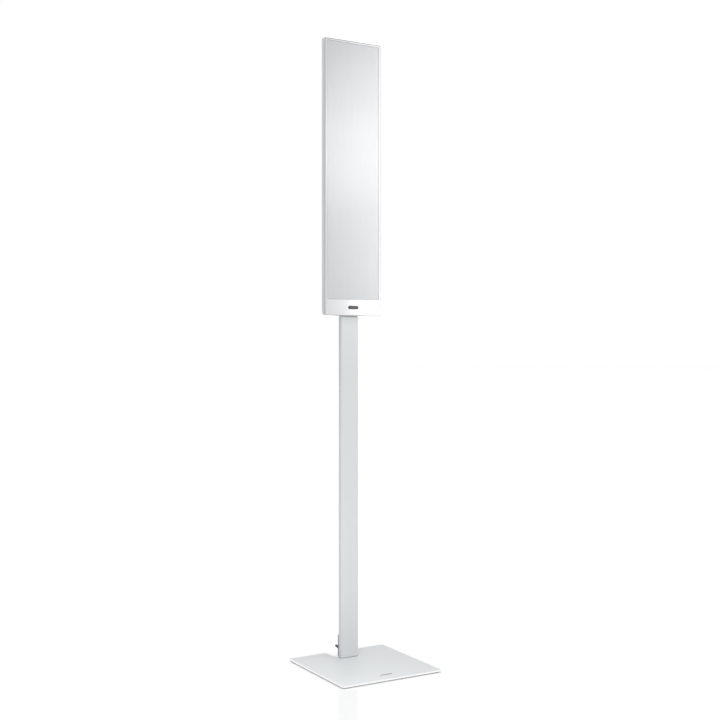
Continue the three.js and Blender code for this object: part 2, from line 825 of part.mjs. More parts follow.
function tweeterMagnet() {
  return turned(
    [
      [0, 11],
      [11.3, 11],
      [11.3, 16.5],
      [13.1, 16.5],
      [13.1, 11],
      [TWEETER.magnet, 11],
      [TWEETER.magnet, 24],
      [0, 24],
    ],
    20,
  );
}

function tweeterGroup() {
  const tweeter = new THREE.Group();
  tweeter.position.z = TWEETER.z;
  tweeter.add(part('tweeter_plate', tweeterPlate(), FINISH.blackPlastic));
  tweeter.add(part('tweeter_dome', tweeterDome(), FINISH.alloyCone));
  tweeter.add(part('tweeter_magnet', tweeterMagnet(), FINISH.steel));
  return tweeter;
}

// ---------------------------------------------------------------- crossover, wiring and wadding

function crossoverBoard() {
  const { halfWidth, front, thickness, bottom, top } = BOARD;
  const plate = centred(halfWidth, front, front + thickness, bottom, top);
  const standoffRear = HEAD.depth - HEAD.wall - 0.05;
  const standoffs = [-34, 34].flatMap((x) =>
    [bottom + 6, top - 6].map((z) => barY(2.5, front + 0.5, standoffRear, x, z)),
  );
  return joined([plate, ...standoffs]);
}

function crossoverInductor() {
  return turned([
    [4, 0],
    [15, 0],
    [15, 1.2],
    [13.5, 1.2],
    [13.5, 9],
    [15, 9],
    [15, 10.2],
    [4, 10.2],
  ]);
}

function crossoverCapacitor() {
  return barY(6, -17, 17, 0, 0, 12).rotate([0, 0, 90]);
}

// One loom joins the terminal block, the crossover and the three drivers.
function wiringLoom() {
  const { radius, core, x: side, y } = LOOM;
  const trunk = cable(
    [
      [9, 25, 133],
      [9, 25, 141],
      [9, 25, 149],
      [9, 25, 156],
      [22, 25, 172],
      [45, y, 186],
      [side, y, 204],
      [side, y, wooferZ.lower],
      [side, y, TWEETER.z],
      [side, y, wooferZ.upper],
      [side - 1, y, 440],
      [44, y, 464],
      [34, 24, 482],
      [25, 24.6, 496],
      [20, 25.8, 503],
    ],
    radius,
    44,
  );
  const branch = (z, x, endY) =>
    cable(
      [
        [side, y, z - 14],
        [side - 2, y - 1.5, z - 6],
        [(side + x) / 2, (y + endY) / 2, z],
        [x, endY, z],
      ],
      core,
      6,
    );
  return joined([
    trunk,
    branch(wooferZ.lower, 39.7, 19.6),
    branch(wooferZ.upper, 39.7, 19.6),
    branch(TWEETER.z, TWEETER.magnet + 0.5, 19),
  ]);
}

function wadding() {
  return extruded(roundedRectangle(104, 15, 5, 22), 542, 592);
}

function innerGroup() {
  const inside = new THREE.Group();
  inside.add(part('crossover_board', crossoverBoard(), FINISH.circuit));
  inside.add(part('wiring_loom', wiringLoom(), FINISH.blackPlastic));
  inside.add(part('wadding', wadding(), FINISH.wool));

  const inductor = part('crossover_inductor', crossoverInductor(), FINISH.copper);
  inductor.position.set(-20, BOARD.front - 10.3, 509);
  const capacitor = part('crossover_capacitor', crossoverCapacitor(), FINISH.blackPlastic);
  capacitor.position.set(16, BOARD.front - 6.1, 522);
  inside.add(inductor, capacitor);
  return inside;
}

// ---------------------------------------------------------------- assembly

function headGroup() {
  const head = new THREE.Group();
  head.position.set(0, HEAD.frontY, HEAD.bottomZ);
  head.add(bracketGroup(), cabinetGroup(), grilleGroup(), innerGroup());
  head.add(wooferGroup('upper'), wooferGroup('lower'), tweeterGroup());
  return head;
}

const loudspeaker = new THREE.Group();
loudspeaker.add(standGroup(), terminalGroup(), headGroup());

export default loudspeaker;
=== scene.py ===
"""A slim floorstanding loudspeaker: its finished surfaces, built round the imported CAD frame.

Shapes are written in millimetres in the CAD frame (x across, y back, z up) and stored in metres.
"""

import json
from math import atan2, cos, hypot, pi, radians, sin, sqrt, tan

import bmesh
import bpy
import numpy as np
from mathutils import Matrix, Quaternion, Vector

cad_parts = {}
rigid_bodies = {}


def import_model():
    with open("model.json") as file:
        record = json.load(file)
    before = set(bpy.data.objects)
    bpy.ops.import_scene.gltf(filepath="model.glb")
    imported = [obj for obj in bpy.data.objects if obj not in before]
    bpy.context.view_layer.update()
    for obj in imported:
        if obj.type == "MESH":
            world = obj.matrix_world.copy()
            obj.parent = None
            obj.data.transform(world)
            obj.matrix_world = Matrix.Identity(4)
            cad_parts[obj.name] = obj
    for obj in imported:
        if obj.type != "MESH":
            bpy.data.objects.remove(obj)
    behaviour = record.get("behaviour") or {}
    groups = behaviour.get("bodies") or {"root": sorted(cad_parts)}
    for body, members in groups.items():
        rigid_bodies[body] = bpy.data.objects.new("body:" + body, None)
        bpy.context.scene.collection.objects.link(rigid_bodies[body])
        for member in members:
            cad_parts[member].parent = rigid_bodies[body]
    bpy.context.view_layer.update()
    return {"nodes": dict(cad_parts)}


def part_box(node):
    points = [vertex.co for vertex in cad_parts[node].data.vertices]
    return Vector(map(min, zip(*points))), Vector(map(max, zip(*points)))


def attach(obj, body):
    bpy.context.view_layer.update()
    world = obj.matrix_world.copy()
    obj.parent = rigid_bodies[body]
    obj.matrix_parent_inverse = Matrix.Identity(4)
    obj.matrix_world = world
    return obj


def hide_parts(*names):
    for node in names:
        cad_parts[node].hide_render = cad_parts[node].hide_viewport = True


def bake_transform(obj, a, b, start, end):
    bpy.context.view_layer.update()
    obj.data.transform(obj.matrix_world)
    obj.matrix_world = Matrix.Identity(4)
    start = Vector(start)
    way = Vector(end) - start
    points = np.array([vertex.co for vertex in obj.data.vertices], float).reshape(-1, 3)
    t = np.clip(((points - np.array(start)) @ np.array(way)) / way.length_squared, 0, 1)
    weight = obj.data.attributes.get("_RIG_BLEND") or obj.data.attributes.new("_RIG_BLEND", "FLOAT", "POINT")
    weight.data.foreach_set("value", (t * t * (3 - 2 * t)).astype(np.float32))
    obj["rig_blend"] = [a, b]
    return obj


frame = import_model()

MM = 0.001
SCENE = bpy.context.scene
NODES = frame["nodes"]


# ---- places taken from the frame


def span(node):
    """A CAD node's lowest and highest corners, in millimetres."""
    low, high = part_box(node)
    return low / MM, high / MM


def middle_of(node):
    """The middle of a CAD node's box: x, y, z."""
    return [(low + high) / 2 for low, high in zip(*span(node))]


def half_of(node):
    """Half the size of a CAD node's box: x, y, z."""
    return [(high - low) / 2 for low, high in zip(*span(node))]


frame_low, frame_high = span("front_frame")
shell_low, shell_high = span("rear_shell")
HEAD_Y = frame_low.y
HEAD_Z = frame_low.z
HEAD_HALF = frame_high.x
HEAD_TOP = frame_high.z
HEAD_DEPTH = shell_high.y - frame_low.y
SHELL_FRONT = shell_low.y - HEAD_Y


# ---- outlines


def fillet(corners, steps=6, closed=True):
    """A polyline whose corners (a, b, radius) are rounded by arcs."""
    points = []
    count = len(corners)
    for i, (x, y, radius) in enumerate(corners):
        corner = Vector((x, y))
        if radius <= 0 or (not closed and i in (0, count - 1)):
            points.append((x, y))
            continue
        before = (Vector(corners[i - 1][:2]) - corner).normalized()
        after = (Vector(corners[(i + 1) % count][:2]) - corner).normalized()
        half = before.angle(after) / 2
        centre = corner + (before + after).normalized() * (radius / sin(half))
        start = corner + before * (radius / tan(half)) - centre
        end = corner + after * (radius / tan(half)) - centre
        sweep = start.angle_signed(end)
        first = atan2(start.y, start.x)
        for k in range(steps + 1):
            angle = first - sweep * k / steps
            points.append((centre.x + radius * cos(angle), centre.y + radius * sin(angle)))
    return points


def rounded_box(half_a, half_b, radius, middle=(0, 0), steps=6):
    a, b = middle
    corners = [(-half_a, -half_b), (half_a, -half_b), (half_a, half_b), (-half_a, half_b)]
    return fillet([(a + x, b + y, radius) for x, y in corners], steps)


def arc(centre, radius, start, end, steps):
    """Points on an arc, angles in degrees."""
    turns = [radians(start + (end - start) * k / steps) for k in range(steps + 1)]
    return [(centre[0] + radius * cos(t), centre[1] + radius * sin(t)) for t in turns]


def shifted(outline, depth):
    """An outline of (radius, depth) points, moved along its axis."""
    return [(r, y + depth) for r, y in outline]


# ---- meshes


def along_z(a, b, c):
    return (a, b, c)


def along_y(a, b, c):
    return (a, c, b)


def along_x(a, b, c):
    return (c, a, b)


def edit(obj, work):
    """Runs work(bm) on an object's mesh."""
    bm = bmesh.new()
    bm.from_mesh(obj.data)
    work(bm)
    bm.to_mesh(obj.data)
    bm.free()
    return obj


def new_object(name, vertices, faces):
    """A mesh object from millimetre points, with its faces turned outwards."""
    mesh = bpy.data.meshes.new(name)
    mesh.from_pydata([tuple(c * MM for c in v) for v in vertices], [], faces)
    obj = bpy.data.objects.new(name, mesh)
    SCENE.collection.objects.link(obj)
    return edit(obj, lambda bm: bmesh.ops.recalc_face_normals(bm, faces=bm.faces))


def loft(name, lower, upper):
    """Two outlines of as many points, joined to each other and closed at both ends."""
    count = len(lower)
    faces = [tuple(range(count)), tuple(range(count, 2 * count))]
    for i in range(count):
        j = (i + 1) % count
        faces.append((i, j, count + j, count + i))
    return new_object(name, [*lower, *upper], faces)


def prism(name, outline, low, high, place=along_z):
    """An outline drawn out between two heights."""
    return loft(name, *[[place(a, b, c) for a, b in outline] for c in (low, high)])


def slab(name, node, radius, steps=6, place=along_y):
    """A CAD node's box with four rounded corners, drawn out along y or z."""
    low, high = span(node)
    half, middle = half_of(node), middle_of(node)
    a, b, c = (0, 2, 1) if place is along_y else (0, 1, 2)
    outline = rounded_box(half[a], half[b], radius, (middle[a], middle[b]), steps)
    return prism(name, outline, low[c], high[c], place)


def block(x0, x1, y0, y1, z0, z1):
    return prism("cutter", [(x0, y0), (x1, y0), (x1, y1), (x0, y1)], z0, z1)


def lathe(name, outline, centre=(0, 0, 0), segments=96, place=along_y, radius_at=None):
    """A surface of revolution from (radius, depth) points; an outline off the axis closes on itself."""
    vertices, rings = [], []
    for radius, depth in outline:
        if radius < 1e-6:
            rings.append([len(vertices)] * segments)
            vertices.append(place(0, 0, depth))
            continue
        rings.append(list(range(len(vertices), len(vertices) + segments)))
        for k in range(segments):
            turn = 2 * pi * k / segments
            r = radius_at(radius, depth, turn) if radius_at else radius
            vertices.append(place(r * cos(turn), r * sin(turn), depth))
    faces = []
    pairs = list(zip(rings, rings[1:]))
    if outline[0][0] > 1e-6 and outline[-1][0] > 1e-6:
        pairs.append((rings[-1], rings[0]))
    for one, two in pairs:
        for k in range(segments):
            m = (k + 1) % segments
            loop = tuple(dict.fromkeys((one[k], one[m], two[m], two[k])))
            if len(loop) > 2:
                faces.append(loop)
    moved = [tuple(v[i] + centre[i] for i in range(3)) for v in vertices]
    return new_object(name, moved, faces)


def bore(radius, low, high, centre, segments, place=along_y):
    """A cutter for a round hole between two depths."""
    return lathe("cutter", [(0, low), (radius, low), (radius, high), (0, high)], centre, segments, place)


def evaluated(obj):
    """Bakes an object's modifiers into its mesh."""
    graph = bpy.context.evaluated_depsgraph_get()
    mesh = bpy.data.meshes.new_from_object(obj.evaluated_get(graph), depsgraph=graph)
    mesh.name = obj.data.name
    obj.modifiers.clear()
    obj.data = mesh
    return obj


def combine(obj, others, operation="DIFFERENCE"):
    """Joins or cuts an object by others, which are used up."""
    for other in others:
        modifier = obj.modifiers.new("combine", "BOOLEAN")
        modifier.operation = operation
        modifier.solver = "EXACT"
        modifier.object = other
        bpy.context.view_layer.update()
        evaluated(obj)
        bpy.data.objects.remove(other)
    return edit(obj, tidy)


def tidy(bm):
    """Merges doubled points and flattens what a boolean leaves on a plane."""
    bmesh.ops.remove_doubles(bm, verts=bm.verts, dist=2e-6)
    bmesh.ops.dissolve_limit(bm, angle_limit=radians(0.4), verts=bm.verts, edges=bm.edges)
    bmesh.ops.recalc_face_normals(bm, faces=bm.faces)


def soften(obj, width, segments=3, pick=None, angle=32, material=-1):
    """Rounds an object's sharp edges; pick(one, other), their ends in millimetres, chooses among them.

    The new faces take the material of that index, or their neighbours' at -1.
    """

    def work(bm):
        chosen = []
        for edge in bm.edges:
            if len(edge.link_faces) != 2 or edge.calc_face_angle(0) < radians(angle):
                continue
            a, b = (v.co / MM for v in edge.verts)
            if pick is None or pick(a, b):
                chosen.append(edge)
        bmesh.ops.bevel(
            bm, geom=chosen, offset=width * MM, offset_type="OFFSET", segments=segments, profile=0.5,
            affect="EDGES", clamp_overlap=True, material=material,
        )

    return edit(obj, work)


def finish_piece(obj, slot, replaced, material, angle=40, body="speaker"):
    """Shades a piece, with edges sharp from an angle, gives it its material and hides the CAD node that it
    replaces.

    The material may be a list; body is None where the piece is blended between two bodies. The slot is not
    used.
    """
    obj.data.shade_smooth()
    obj.data.set_sharp_from_angle(angle=radians(angle))
    obj.modifiers.new("normals", "WEIGHTED_NORMAL").keep_sharp = True
    bpy.context.view_layer.update()
    evaluated(obj)
    for i, each in enumerate(material if isinstance(material, list) else [material]):
        if i < len(obj.data.materials):
            obj.data.materials[i] = each
        else:
            obj.data.materials.append(each)
    if body:
        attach(obj, body)
    if replaced:
        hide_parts(replaced)
    return obj


def eased(node, width, slot, material):
    """Puts a copy of a prismatic CAD node, with its edges eased, in the node's place."""
    obj = bpy.data.objects.new(node + "_body", NODES[node].data.copy())
    SCENE.collection.objects.link(obj)
    obj.data.materials.clear()
    for name in list(obj.data.attributes.keys()):
        if name.startswith("custom_normal"):
            obj.data.attributes.remove(obj.data.attributes[name])
    edit(obj, tidy)
    soften(obj, width, 2, angle=35)
    finish_piece(obj, slot, node, material)


# ---- materials


class Graph:
    """A small helper round the node tree of a material or a world."""

    def __init__(self, owner):
        self.owner = owner
        owner.use_nodes = True
        self.tree = owner.node_tree
        self.coordinates = self.node("TexCoord").outputs
        self.place = self.coordinates["Object"]

    def join(self, value, socket):
        """Links an output, or sets a plain value, on an input."""
        if isinstance(value, bpy.types.NodeSocket):
            self.tree.links.new(value, socket)
        else:
            socket.default_value = value

    def node(self, kind, inputs=None, **settings):
        made = self.tree.nodes.new("ShaderNode" + kind)
        for key, value in settings.items():
            setattr(made, key, value)
        for key, value in (inputs or {}).items():
            self.join(value, made.inputs[key])
        return made

    def stretched(self, scale):
        return self.node("Mapping", {"Vector": self.place, "Scale": scale}).outputs["Vector"]

    def noise(self, scale, detail=3.0, roughness=0.5, vector=None):
        inputs = {"Vector": vector or self.place, "Scale": scale, "Detail": detail, "Roughness": roughness}
        return self.node("TexNoise", inputs).outputs["Fac"]

    def span(self, value, low, high, start=0.3, end=0.7, kind="LINEAR"):
        """Maps start to end onto low to high."""
        inputs = {"Value": value, "From Min": start, "From Max": end, "To Min": low, "To Max": high}
        return self.node("MapRange", inputs, interpolation_type=kind).outputs["Result"]

    def maths(self, operation, a, b=0.0):
        return self.node("Math", {0: a, 1: b}, operation=operation).outputs[0]

    def times(self, one, two):
        return self.maths("MULTIPLY", one, two)

    def mean(self, one, two, share=0.5):
        """A mean of two values, with the first one's share of it."""
        return self.maths("ADD", self.times(one, share), self.times(two, 1 - share))

    def mixed(self, factor, one, two):
        one, two = ((*colour, 1) if isinstance(colour, tuple) else colour for colour in (one, two))
        return self.node("Mix", {"Factor": factor, 6: one, 7: two}, data_type="RGBA").outputs[2]

    def mottled(self, tone, colour, spread):
        """A colour that goes a little darker and lighter with a tone."""
        return self.mixed(self.span(tone, 0.0, 1.0), shaded(colour, 1 - spread), shaded(colour, 1 + spread))

    def finished(self, colour, roughness, height, relief, **shader):
        """Wires up the material's shader, with a relief in millimetres, and returns the material."""
        bump = self.node("Bump", {"Height": height, "Distance": relief * MM, "Strength": 1.0})
        inputs = self.tree.nodes["Principled BSDF"].inputs
        self.join(colour, inputs["Base Color"])
        self.join(roughness, inputs["Roughness"])
        self.join(bump.outputs["Normal"], inputs["Normal"])
        for key, value in shader.items():
            inputs[key.replace("_", " ")].default_value = value
        return self.owner


def shaded(colour, factor):
    return tuple(min(1.0, c * factor) for c in colour)


def surface(
    name, colour, roughness, grain, relief, mottle, patches, spread=0.06, stretch=(1, 1, 1), **shader
):
    """A finish with a fine grain in its relief, a faint patchiness in its colour and uneven gloss."""
    g = Graph(bpy.data.materials.new(name))
    vector = g.stretched(stretch)
    broad = g.noise(patches, 4.0, 0.55, vector)
    fine = g.noise(grain, 2.0, 0.6, vector)
    toned = g.mottled(g.mean(broad, fine, 0.65), colour, mottle)
    gloss = g.span(g.mean(broad, fine), roughness - spread, roughness + spread)
    return g.finished(toned, gloss, fine, relief, **shader)


def streaked(name, colour, roughness, axis, grain, relief, mottle, **shader):
    """Drawn or brushed metal: fine lines along an axis, with a soft variation between them."""
    squeeze = [1.0, 1.0, 1.0]
    squeeze[axis] = 0.008
    g = Graph(bpy.data.materials.new(name))
    vector = g.stretched(tuple(squeeze))
    lines = g.noise(grain, 3.0, 0.65, vector)
    bands = g.noise(grain / 14, 2.0, 0.5, vector)
    cloud = g.noise(9.0, 2.0, 0.5)
    toned = g.mottled(g.mean(lines, bands, 0.45), colour, mottle)
    gloss = g.span(g.mean(lines, cloud), roughness - 0.06, roughness + 0.06)
    return g.finished(toned, gloss, lines, relief, **shader)


def woven(name, colour, pitch, relief, **shader):
    """Fine open weave: upright yarns over cross yarns, each yarn a little lighter or darker, with painted
    shade where the weave dips between yarns.
    """
    g = Graph(bpy.data.materials.new(name))
    parts = g.node("SeparateXYZ", {"Vector": g.place}).outputs
    turn = 2 * pi / (pitch * MM)
    warp = g.maths("SINE", g.times(parts["X"], turn))
    weft = g.maths("SINE", g.times(parts["Z"], turn * 0.8))
    over = g.maths("MAXIMUM", warp, g.times(weft, 0.55))
    yarns = g.noise(1.0 / (pitch * MM), 2.0, 0.5, g.stretched((1, 1, 0.02)))
    slub = g.noise(1.0 / (6 * pitch * MM), 3.0, 0.6, g.stretched((1, 1, 0.05)))
    tone = g.span(g.mean(yarns, slub), 0.0, 1.0, 0.35, 0.65)
    lit = g.mixed(tone, shaded(colour, 0.965), shaded(colour, 1.03))
    # Darker where the weave dips between yarns: painted shade.
    toned = g.mixed(g.span(over, 0.0, 1.0, -0.6, 0.5), shaded(colour, 0.9), lit)
    gloss = g.span(g.noise(7.0, 2.0, 0.5), 0.29, 0.33)
    return g.finished(toned, gloss, g.mean(over, yarns), relief, **shader)


def ringed(name, colour, painted_groove_shade, axis, pitch, roughness, relief, **shader):
    """Turns of wire or ribs laid side by side along an axis, with painted shade in the grooves between them.
    """
    g = Graph(bpy.data.materials.new(name))
    parts = g.node("SeparateXYZ", {"Vector": g.place}).outputs
    wave = g.maths("SINE", g.times(parts["XYZ"[axis]], 2 * pi / (pitch * MM)))
    uneven = g.noise(240.0, 3.0, 0.6)
    crest = g.mixed(uneven, shaded(colour, 0.92), shaded(colour, 1.06))
    # The grooves between turns take the darker colour: painted shade, not a colour of the wire or cotton.
    toned = g.mixed(g.span(wave, 0.0, 1.0, -0.9, 0.4), painted_groove_shade, crest)
    gloss = g.span(uneven, roughness - 0.06, roughness + 0.08)
    return g.finished(toned, gloss, wave, relief, **shader)


def circuit_finish():
    """Solder mask with copper runs under it."""
    g = Graph(bpy.data.materials.new("circuit_board"))
    cell_inputs = {"Vector": g.stretched((1, 1, 0.35)), "Scale": 130.0}
    cells = g.node("TexVoronoi", cell_inputs, feature="DISTANCE_TO_EDGE")
    runs = g.span(cells.outputs["Distance"], 1.0, 0.0, 0.05, 0.09)
    grain = g.noise(900.0)
    mask = g.mixed(grain, (0.035, 0.15, 0.075), (0.05, 0.19, 0.095))
    toned = g.mixed(runs, mask, (0.09, 0.27, 0.13))
    return g.finished(toned, g.span(grain, 0.25, 0.4), runs, 0.05, IOR=1.5, Coat_Weight=0.4)


BASE_SILVER = (0.74, 0.765, 0.772)
POST_SILVER = (0.62, 0.638, 0.646)
SATIN_SILVER = (0.73, 0.736, 0.746)
GLOSS_SILVER = (0.6, 0.606, 0.616)
CLOTH_SILVER = (0.5, 0.505, 0.515)
CUT_SILVER = (0.97, 0.975, 0.98)
DEEP_BLACK = (0.03, 0.03, 0.032)
MOULDED_BLACK = (0.045, 0.045, 0.048)
COAT_BLACK = (0.05, 0.05, 0.054)
COPPER = (0.72, 0.33, 0.16)

# What the numbers after a colour say:
# surface: roughness, grain per metre, relief in mm, mottle, patches per metre, how uneven the gloss is
# streaked: roughness, axis of the lines, lines per metre, relief in mm, mottle
# ringed, after the painted shade colour of the grooves between turns: axis, pitch in mm, roughness, relief in
# mm
M = {
    "paint": surface("base_powder_coat", BASE_SILVER, 0.42, 1300, 0.012, 0.015, 6, 0.05, IOR=1.5),
    "edge": surface("base_bright_edge", CUT_SILVER, 0.16, 1500, 0.002, 0.01, 25, 0.03, Metallic=1.0),
    "mark": surface("dark_bar", DEEP_BLACK, 0.5, 1800, 0.003, 0.03, 60, 0.04),
    "pad": surface("rubber_pad", MOULDED_BLACK, 0.85, 1600, 0.03, 0.12, 40),
    # A dark rubber gasket. Its thin dark line at the post's foot also stands in for the contact shadow there,
    # so it is partly painted shadow.
    "gasket": surface("gasket_rubber", (0.2, 0.205, 0.21), 0.8, 1600, 0.02, 0.08, 40),
    "post": streaked("post_satin_anodised", POST_SILVER, 0.42, 2, 2600, 0.002, 0.012, Metallic=0.25),
    "panel": surface("terminal_panel_plastic", (0.16, 0.165, 0.17), 0.6, 1700, 0.03, 0.06, 50),
    "steel": streaked("zinc_plated_steel", (0.62, 0.63, 0.64), 0.3, 0, 1500, 0.003, 0.06, Metallic=1.0),
    "black_steel": surface("blackened_steel", (0.06, 0.06, 0.065), 0.42, 1500, 0.008, 0.1, 80, Metallic=0.6),
    # Grey bracket paint, darker than the post. Its flange in the gap below the head also stands in for the
    # head's shadow on the post, so it is partly painted shadow.
    "bracket": surface("bracket_paint_and_painted_shadow", (0.5, 0.505, 0.51), 0.48, 1200, 0.02, 0.08, 30),
    "jacket": surface("cable_jacket", COAT_BLACK, 0.62, 1400, 0.02, 0.1, 60, stretch=(1, 1, 0.3)),
    "shell": surface("shell_fine_texture", SATIN_SILVER, 0.44, 1900, 0.018, 0.012, 8, 0.04),
    "inner": surface("black_moulding", MOULDED_BLACK, 0.58, 1500, 0.025, 0.08, 40),
    "pale_ink": surface("pale_pad_print", (0.55, 0.55, 0.54), 0.6, 900, 0.01, 0.05, 4, 0.05),
    "trim": surface("bright_cut_edge", (0.6, 0.605, 0.612), 0.18, 240, 0.002, 0.01, 10, 0.02, Metallic=1.0),
    "gloss": surface(
        "gloss_silver_lacquer", GLOSS_SILVER, 0.3, 240, 0.0018, 0.008, 10, 0.02,
        Metallic=0.35, Coat_Weight=0.9, Coat_Roughness=0.05,
    ),
    "badge": surface("dark_plaque", (0.02, 0.02, 0.022), 0.22, 900, 0.003, 0.1, 60, 0.04, Coat_Weight=0.5),
    "cloth": woven("silver_acoustic_cloth", CLOTH_SILVER, 0.55, 0.05, Metallic=0.6, Sheen_Weight=0.1),
    "board": circuit_finish(),
    # The winding's second colour is painted shade for the grooves between turns.
    "copper": ringed("copper_winding", COPPER, (0.2, 0.07, 0.03), 1, 0.5, 0.3, 0.12, Metallic=0.9),
    "sleeve": surface("capacitor_sleeve", (0.1, 0.11, 0.15), 0.3, 900, 0.01, 0.08, 60, 0.05, Coat_Weight=0.3),
    "wool": surface("polyester_wadding", (0.86, 0.85, 0.81), 0.95, 700, 0.6, 0.08, 30, 0.03, Sheen_Weight=0.5),
    "cone": streaked("satin_alloy_cone", (0.36, 0.37, 0.385), 0.34, 0, 1800, 0.006, 0.04, Metallic=0.9),
    "magnet": surface("plated_yoke", (0.42, 0.425, 0.43), 0.3, 1100, 0.004, 0.06, 60, Metallic=0.9),
    "basket": surface("basket_black_coat", COAT_BLACK, 0.5, 1300, 0.02, 0.08, 40),
    "roll": surface("surround_rubber", (0.035, 0.035, 0.038), 0.55, 1700, 0.012, 0.1, 30, Sheen_Weight=0.2),
    # The spider's second colour is painted shade for the grooves between its ribs.
    "spider": ringed("spider_cotton", (0.68, 0.5, 0.24), (0.5, 0.35, 0.15), 0, 0.9, 0.85, 0.15),
    "nickel": streaked("nickel_plate", (0.78, 0.77, 0.745), 0.18, 1, 1800, 0.002, 0.04, Metallic=1.0),
    "cap_black": surface("terminal_cap_black", DEEP_BLACK, 0.42, 1500, 0.012, 0.1, 60, 0.05),
    "cap_red": surface("terminal_cap_red", (0.45, 0.025, 0.02), 0.4, 1500, 0.012, 0.06, 60, 0.05),
}


# ---- base

BASE_CORNER = 3.0
NOTCH_HALF, NOTCH_CORNER, NOTCH_LIP, NOTCH_GAP = 27.5, 6.0, 1.5, 4
SCREW_HOLE, COUNTERSINK = 2.3, 4.8
POST_X = 15.5  # the screw ports, either side of the post's middle
POST_Y = middle_of("post_extrusion")[1]


def build_base_plate():
    """A powder-coated plate with bright edges, notched behind the post for the cable."""
    low, high = span("base_plate")
    notch = span("post_extrusion")[1].y + NOTCH_GAP
    corners = [
        (low.x, low.y, BASE_CORNER), (high.x, low.y, BASE_CORNER), (high.x, high.y, BASE_CORNER),
        (NOTCH_HALF, high.y, NOTCH_LIP), (NOTCH_HALF, notch, NOTCH_CORNER),
        (-NOTCH_HALF, notch, NOTCH_CORNER), (-NOTCH_HALF, high.y, NOTCH_LIP),
        (low.x, high.y, BASE_CORNER),
    ]
    plate = prism("base_plate_body", fillet(corners, 8), low.z, high.z)
    sink = [
        (0, low.z - 1), (COUNTERSINK, low.z - 1), (COUNTERSINK, low.z + 0.1), (SCREW_HOLE, low.z + 2.2),
        (SCREW_HOLE, high.z + 1), (0, high.z + 1),
    ]
    combine(plate, [lathe("cutter", sink, (x, POST_Y, 0), 32, along_z) for x in (-POST_X, POST_X)])

    def by_hole(p):
        """Whether a point is near a screw hole, where the plate stays painted and its edge sharp."""
        return min(hypot(p.x - x, p.y - POST_Y) for x in (-POST_X, POST_X)) < 7

    for face in plate.data.polygons:
        if abs(face.normal.z) < 0.1 and not by_hole(face.center / MM):
            face.material_index = 1

    def rim(a, b):
        return abs(a.z - b.z) < 0.01 and not (by_hole(a) or by_hole(b))

    soften(plate, 0.55, 3, rim, material=1)
    finish_piece(plate, "base_paint", "base_plate", [M["paint"], M["edge"]])


def build_foot_pad(node):
    """A turned rubber foot with a groove round its sole."""
    low, high = span(node)
    x, y, _ = middle_of(node)
    radius = half_of(node)[0]
    sole, groove = low.z, low.z + 0.25
    outline = [
        (0, high.z, 0), (radius - 0.1, high.z, 0.15), (radius, sole + 0.5, 0.2),
        (radius - 0.6, sole, 0.4), (radius - 2.2, sole, 0.1), (radius - 2.5, groove, 0.1),
        (radius - 3.1, groove, 0.1), (radius - 3.4, sole, 0.1), (0, sole, 0),
    ]
    pad = lathe(node + "_body", fillet(outline, 4, False), (x, y, 0), 64, along_z)
    finish_piece(pad, "rubber_pad", node, M["pad"])


def build_base():
    build_base_plate()
    bar = slab("base_mark_bar", "base_mark", 1.1, place=along_z)
    soften(bar, 0.1, 2)
    finish_piece(bar, "bright_trim", "base_mark", M["mark"])
    for corner in ("front_left", "front_right", "rear_left", "rear_right"):
        build_foot_pad("foot_pad_" + corner)


# ---- post

POST_WALL, POST_CORNER = 1.8, 1.0
DUCT_HALF = 12.4
PORT_RADIUS = 2.1
WINDOW_HALF, WINDOW_FOOT, WINDOW_TOP = 14.2, 12, 34
PANEL_SCREW_Z = middle_of("panel_screw_left")[2]


def build_post():
    """An extrusion with a duct for the lead, two screw ports, and a window behind the terminals."""
    low, high = span("post_extrusion")
    post = slab("post_body", "post_extrusion", POST_CORNER, 8, along_z)
    through = low.z - 1, high.z + 1
    duct = rounded_box(DUCT_HALF, half_of("post_extrusion")[1] - POST_WALL, 0.8, (0, POST_Y), 3)
    sides = (-POST_X, POST_X)
    cutters = [
        prism("cutter", duct, *through),
        *[bore(PORT_RADIUS, *through, (x, POST_Y, 0), 24, along_z) for x in sides],
        block(-WINDOW_HALF, WINDOW_HALF, POST_Y, high.y + 1, WINDOW_FOOT, WINDOW_TOP),
        *[bore(1.4, POST_Y, high.y + 1, (x, 0, PANEL_SCREW_Z), 20) for x in sides],
    ]
    combine(post, cutters)

    def outer_top(a, b):
        return min(a.z, b.z) > high.z - 0.1 and max(abs(a.x), abs(b.x)) > POST_X + PORT_RADIUS + 0.1

    soften(post, 0.25, 2, outer_top)
    finish_piece(post, "post_silver", "post_extrusion", M["post"])

    # The gasket's dark line at the post's foot is partly painted contact shadow.
    eased("post_gasket", 0.2, "gasket_rubber", M["gasket"])
    # The bracket's flange under the head is partly painted shadow.
    eased("stand_bracket", 0.3, "bracket_black", M["bracket"])


# ---- screws


def cross_cutter(half, depth, top, place):
    """A tapered cross that cuts a screw's driver recess."""

    def plus(arm, web):
        quarter = [complex(arm, -web), complex(arm, web), complex(web, web)]
        return [point * 1j**turn for turn in range(4) for point in quarter]

    mouth = [place(p.real, p.imag, top + 0.01) for p in plus(half, half * 0.28)]
    tip = [place(p.real, p.imag, top - depth) for p in plus(half * 0.45, half * 0.18)]
    return loft("cutter", mouth, tip)


def threaded(radius, pitch, depth):
    """A thread cut into the stretch of a lathe outline that has this radius."""

    def radius_at(r, y, turn):
        if abs(r - radius) > 1e-6:
            return r
        phase = (y / pitch - turn / (2 * pi)) % 1.0
        return r - depth * abs(2 * phase - 1)

    return radius_at


